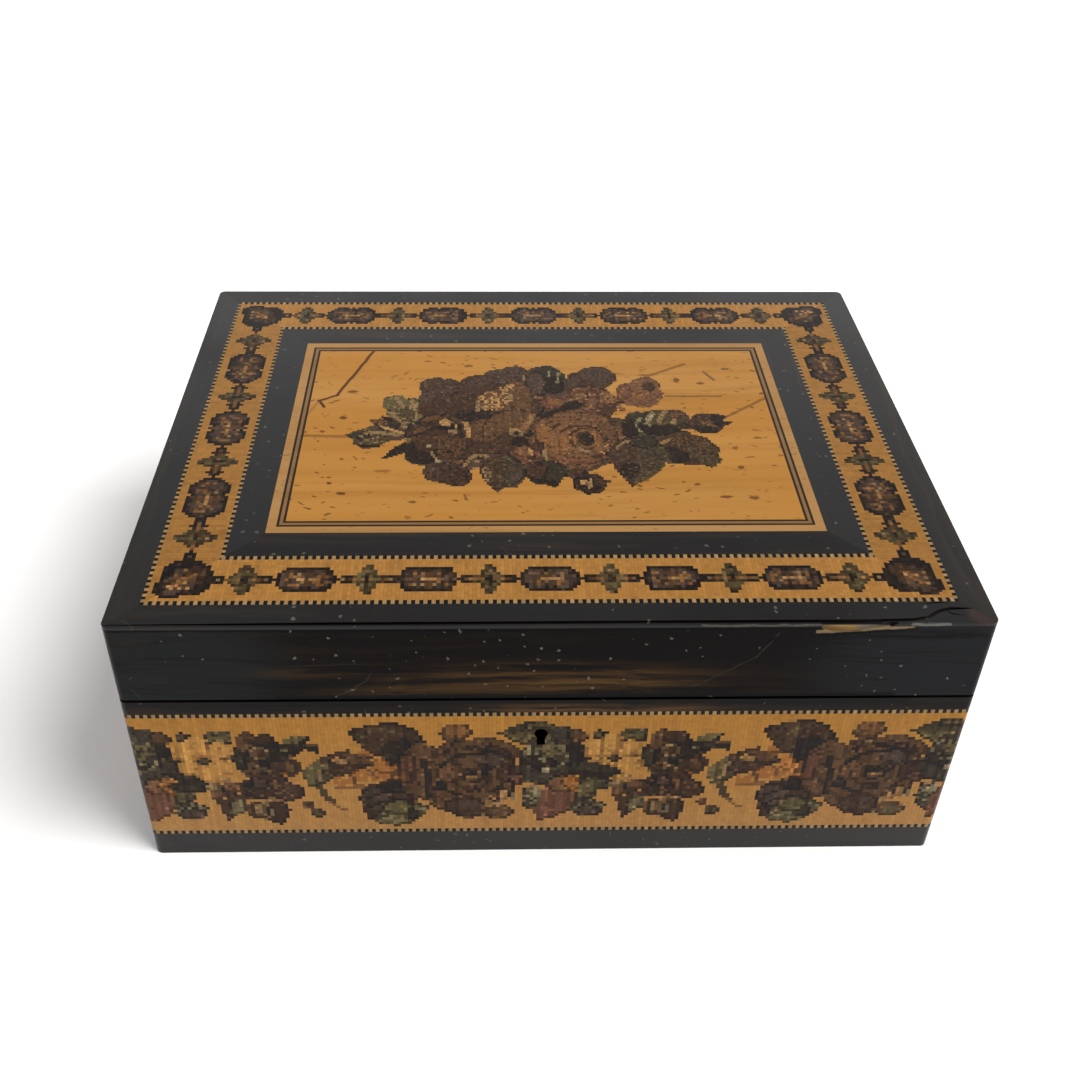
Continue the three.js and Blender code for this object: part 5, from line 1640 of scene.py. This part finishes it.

# Finishes of the pieces that the CAD model gives as they are

# painted shade in the keyhole's bore: its middle, its reach, and the y behind which it stops
keyhole = ((-0.00225, -0.087, 0.052), (0.006, 0.02, 0.0075), -0.0812)
softwood = {
    "light": (176, 138, 94),
    "dark": (148, 108, 68),
    "roughness": 0.62,
    "pores": 0.5,
    "contrast": 0.8,
}
edgingWood = plainWoodFinish("edgingWood", (175, 133, 84), (158, 114, 66), pores=0.3, contrast=0.5,
                             marks=0.3, specular=0.1)
stripeWood = plainWoodFinish("stripeWood", (138, 106, 68), (112, 84, 52), pores=0.3, contrast=0.5)
stringWood = plainWoodFinish("stringWood", (50, 37, 28), (34, 26, 21), roughness=0.4, pores=0.3,
                             contrast=0.5)
carcassWood = plainWoodFinish("carcassWood", boreShade=keyhole, **softwood)
carcassSideWood = plainWoodFinish("carcassSideWood", grain="Y", **softwood)
brass = brassFinish("agedBrass")
lockBrass = brassFinish("lockBrass", boreShade=keyhole)

lidCracksAndShadeLines = (  # from, to, width, strength, colour
    # painted shade: the next three black lines are painted shade, in the seam under the top edge, beside the
    # gap under the lid, and under the chip's pale edge
    ((-0.12, -0.09, 0.0960), (0.072, -0.09, 0.0960), 0.0010, 1.0, (3, 3, 3)),
    ((-0.075, -0.09, 0.069), (0.095, -0.09, 0.069), 0.0022, 1.0, (3, 3, 3)),
    ((0.0715, -0.09, 0.0932), (0.097, -0.09, 0.0952), 0.0009, 0.9, (3, 3, 3)),
    ((0.0712, -0.09, 0.0942), (0.0965, -0.09, 0.0959), 0.0009, 0.85, (140, 120, 92)),
    ((0.0608, -0.09, 0.0935), (0.0559, -0.09, 0.0847), 0.0003, 0.3, (90, 86, 76)),
    ((0.0559, -0.09, 0.0847), (0.0400, -0.09, 0.0735), 0.0003, 0.22, (90, 86, 76)),
)
lidFlames = (  # middle, reach, strength
    ((0.0, -0.09, 0.0765), (0.062, 0.02, 0.0085), 0.95),
    ((-0.08, -0.09, 0.0805), (0.05, 0.02, 0.0045), 0.5),
    ((-0.03, -0.09, 0.072), (0.05, 0.02, 0.004), 0.5),
)
lidWornAndSheen = (  # middle, reach, colour
    ((-0.1135, -0.09, 0.0927), (0.0085, 0.02, 0.0032), (76, 55, 46)),
    ((0.117, -0.09, 0.095), (0.005, 0.02, 0.003), (58, 46, 42)),
    # painted reflection: the next two wide blue-grey patches at the ends of the lid front are a painted
    # sheen
    ((-0.118, -0.09, 0.082), (0.055, 0.02, 0.03), (44, 45, 46)),
    ((0.12, -0.09, 0.082), (0.06, 0.02, 0.03), (44, 45, 47)),
    ((0.0772, -0.09, 0.0957), (0.0046, 0.02, 0.0016), (142, 112, 72)),
    ((0.0880, -0.09, 0.0961), (0.0105, 0.02, 0.0016), (122, 112, 102)),
)
lidFrontFinish = coromandelFinish("lidFrontCoromandel", flames=lidFlames, wornAndSheen=lidWornAndSheen, cracks=lidCracksAndShadeLines,
                                  figure=0.35, specks=1.0, specular=0.055, bare=chip)
railFlames = (
    ((0.012, -0.09, 0.0655), (0.05, 0.01, 0.004), 0.9),
    ((0.01, -0.09, 0.0642), (0.045, 0.01, 0.003), 1.0),
)
# painted shade: a black line along the rail's top edge, beside the gap under the lid
railShadeLines = (((-0.085, -0.09, 0.068), (0.1, -0.09, 0.068), 0.0024, 1.0, (3, 3, 3)),)
railFinish = coromandelFinish("railCoromandel", flames=railFlames, cracks=railShadeLines)
plinthFinish = coromandelFinish("plinthCoromandel", figure=0.25, specular=0.27)
plinthSideFinish = coromandelFinish("plinthSideCoromandel", "Y", figure=0.25, specular=0.32)
longFinish = coromandelFinish("longCoromandel", figure=0.5)
crossFinish = coromandelFinish("crossCoromandel", "Y", figure=0.5)
topWorn = (((0.1165, -0.0865, 0.097), (0.005, 0.005, 0.02), (62, 46, 42)),)
arrisLines = (
    ((0.040, -0.09, 0.0966), (0.072, -0.09, 0.0966), 0.0005, 0.5, (100, 96, 88)),
    ((0.0965, -0.09, 0.0966), (0.1065, -0.09, 0.0966), 0.0007, 0.7, (118, 116, 110)),
)
topFrontFinish = coromandelFinish("topFrontCoromandel", "X", False, wornAndSheen=topWorn, cracks=arrisLines,
                                  figure=0.5, specks=0.8, specular=0.26)
innerFrontFinish = coromandelFinish("innerFrontCoromandel", "X", False, figure=0.5, specks=0.7,
                                    specular=0.23)
topLongFinish = coromandelFinish("topLongCoromandel", "X", False, figure=0.5, specks=0.7, specular=0.28)
topCrossFinish = coromandelFinish("topCrossCoromandel", "Y", False, figure=0.5, specks=0.6, specular=0.32)

plainPieces = {
    "base_bottom_board": carcassWood, "lid_top_board": carcassWood, "lock": lockBrass, "lid_catch": brass,
    "lid_light_edging": edgingWood, "lid_outer_stringing": stringWood, "lid_light_stripe": stripeWood,
    "lid_inner_stringing": stringWood, "lid_front_veneer": lidFrontFinish,
    "base_front_rail_veneer": railFinish, "lid_front_inner_banding": innerFrontFinish,
}
runs = {  # name round the box, on the long sides, on the short sides
    "base_{}_wall": (carcassWood, carcassSideWood),
    "lid_{}_wall": (carcassWood, carcassSideWood),
    "base_{}_plinth_veneer": (plinthFinish, plinthSideFinish),
    "base_{}_rail_veneer": (longFinish, crossFinish),
    "lid_{}_veneer": (longFinish, crossFinish),
    "lid_{}_crossbanding": (topLongFinish, topCrossFinish),
    "lid_{}_inner_banding": (topLongFinish, topCrossFinish),
}
for side in sideNames:
    for label, (onLong, onShort) in runs.items():
        plainPieces.setdefault(label.format(side), onLong if side in longSides else onShort)
for side in ("left", "right"):
    for leafName in ("base_leaf", "pin", "lid_leaf"):
        plainPieces["hinge_" + side + "_" + leafName] = brass
for name, finish in plainPieces.items():
    for slotHere in nodes[name].material_slots:
        slotHere.material = finish
print("finishes set")


# Cracks with a real depth, cut into a copy of the veneer

cracks = {
    "paths": {
        "arris": ((-119.5, -89.0), (-60, -88.9), (20, -88.8), (84, -88.8), (97, -88.5), (101.5, -87.5),
                  (105, -85.2), (108.5, -84.3), (114.5, -84.2)),
        "upper": ((101.5, -82.6), (105, -81.9), (108.5, -82.1)),
        "side": ((106.5, -84.6), (108, -86.2), (111.5, -86.9)),
    },
    "width": {"arris": 1.1, "upper": 0.45, "side": 0.45},
    "tail": 0.25,  # how wide a crack is at its two ends
    "top": 97.0,
    "above": 0.5,
    "depth": 0.7,
    "sameSpot": 1e-6,
    "flatAngle": 0.002,
}


def crackCutter(label, c):
    bm = bmesh.new()
    path, low, high = c["paths"][label], c["top"] - c["depth"], c["top"] + c["above"]
    rings = []
    for k, (x, y) in enumerate(path):
        before, after = Vector(path[max(k - 1, 0)]), Vector(path[min(k + 1, len(path) - 1)])
        along = (after - before).normalized()
        ending = c["tail"] if k in (0, len(path) - 1) else 1
        across = Vector((-along.y, along.x)) * c["width"][label] / 2 * ending
        corners = ((-1, low), (1, low), (1, high), (-1, high))
        points = [Vector((x + way * across.x, y + way * across.y, z)) for way, z in corners]
        rings.append([bm.verts.new(point * mm) for point in points])
    for one, two in zip(rings[:-1], rings[1:]):
        for k in range(4):
            bm.faces.new((one[k], one[(k + 1) % 4], two[(k + 1) % 4], two[k]))
    bm.faces.new(rings[0][::-1])
    bm.faces.new(rings[-1])
    bmesh.ops.recalc_face_normals(bm, faces=bm.faces[:])
    mesh = bpy.data.meshes.new(label + "Cutter")
    bm.to_mesh(mesh)
    bm.free()
    return addPiece(label + "Cutter", mesh)


def crackedVeneer(name, node, c, finish):
    mesh = nodes[node].data.copy()
    bm = bmesh.new()
    bm.from_mesh(mesh)
    bmesh.ops.remove_doubles(bm, verts=bm.verts[:], dist=c["sameSpot"])
    bmesh.ops.dissolve_limit(bm, angle_limit=c["flatAngle"], verts=bm.verts[:], edges=bm.edges[:])
    bm.to_mesh(mesh)
    bm.free()
    mesh.materials.clear()
    mesh.materials.append(finish)
    rough = addPiece(name + "Rough", mesh)
    helpers = [rough]
    for label in c["paths"]:
        helpers.append(crackCutter(label, c))
        cut = rough.modifiers.new(label, "BOOLEAN")
        cut.operation, cut.solver, cut.object = "DIFFERENCE", "EXACT", helpers[-1]
    plain = bpy.data.meshes.new_from_object(rough.evaluated_get(bpy.context.evaluated_depsgraph_get()))
    for helper in helpers:
        bpy.data.objects.remove(helper)
    for polygon in plain.polygons:
        polygon.use_smooth = False
    plain.name = name
    settle(addPiece(name, plain), "lid", "coromandel", node)


crackedVeneer("cracked_front_crossbanding", "lid_front_crossbanding", cracks, topFrontFinish)
print("cracks cut")


# Screws in the leaves of the hinges

screws = {
    "radius": 1.5,
    "height": 0.24,
    "slot": 0.34,
    "proud": 0.12,
    "sides": 20,
    "slotLength": 2.4,  # radii
    "turn": 1.2,
    "seed": 4,
    "pitch": 10,
    "count": 3,
    "rows": (  # body, first point, facing up or down
        ("base", (-80, 86.4, 68), 1), ("base", (60, 86.4, 68), 1),
        ("lid", (-80, 86.4, 69), -1), ("lid", (60, 86.4, 69), -1),
    ),
}


def screwTree(s):
    inputs = [("Count", "Int", 3), ("Pitch", "Float", 0.01), ("Radius", "Float", 0.0015),
              ("Height", "Float", 0.0003), ("Slot", "Float", 0.0003), ("Finish", "Material", None)]
    tree, given, result = startTree("Geometry", "screwRow", inputs, [("Geometry", "Geometry")])
    radius, height = given["Radius"], given["Height"]
    inputs = {"Vertices": s["sides"], "Radius": radius, "Depth": height}
    head = geometry(tree, "MeshCylinder", inputs)["Mesh"]
    size = triple(tree, X=times(tree, radius, s["slotLength"]), Y=given["Slot"], Z=height)
    bar = geometry(tree, "MeshCube", {"Size": size})["Mesh"]
    raised = triple(tree, Z=times(tree, height, 0.5))
    lifted = geometry(tree, "Transform", {"Geometry": bar, "Translation": raised})[0]
    inputs = {"Mesh 1": head, "Mesh 2": lifted}
    slotted = geometry(tree, "MeshBoolean", inputs, operation="DIFFERENCE")["Mesh"]
    inputs = {"Count": given["Count"], "Offset": triple(tree, X=given["Pitch"])}
    line = geometry(tree, "MeshLine", inputs, mode="OFFSET")[0]
    inputs = {"Min": (0, 0, -s["turn"]), "Max": (0, 0, s["turn"]), "Seed": s["seed"]}
    turn = put(tree, "FunctionNodeRandomValue", inputs, data_type="FLOAT_VECTOR").outputs[0]
    spin = put(tree, "FunctionNodeEulerToRotation", {0: turn}).outputs[0]
    row = geometry(tree, "InstanceOnPoints", {"Points": line, "Instance": slotted, "Rotation": spin})[0]
    return finished(tree, row, given["Finish"], result)


def makeScrews(s, finish):
    tree = screwTree(s)
    values = {"Radius": s["radius"] * mm, "Height": s["height"] * mm, "Slot": s["slot"] * mm,
              "Pitch": s["pitch"] * mm, "Count": s["count"], "Finish": finish}
    for body in ("base", "lid"):
        bm = bmesh.new()
        for owner, first, way in s["rows"]:
            if owner != body:
                continue
            row = grown(tree, values, "screwRow")
            place = Vector(first) + Vector((0, 0, way * (s["proud"] - s["height"] / 2)))
            turn = Matrix.Rotation(math.pi if way < 0 else 0, 4, "X")
            row.transform(Matrix.Translation(place * mm) @ turn)
            bm.from_mesh(row)
            bpy.data.meshes.remove(row)
        mesh = bpy.data.meshes.new(body + "_screws")
        bm.to_mesh(mesh)
        bm.free()
        mesh.materials.append(finish)
        settle(addPiece(body + "_screws", mesh), body, "brass")


makeScrews(screws, brass)
print("screws set")
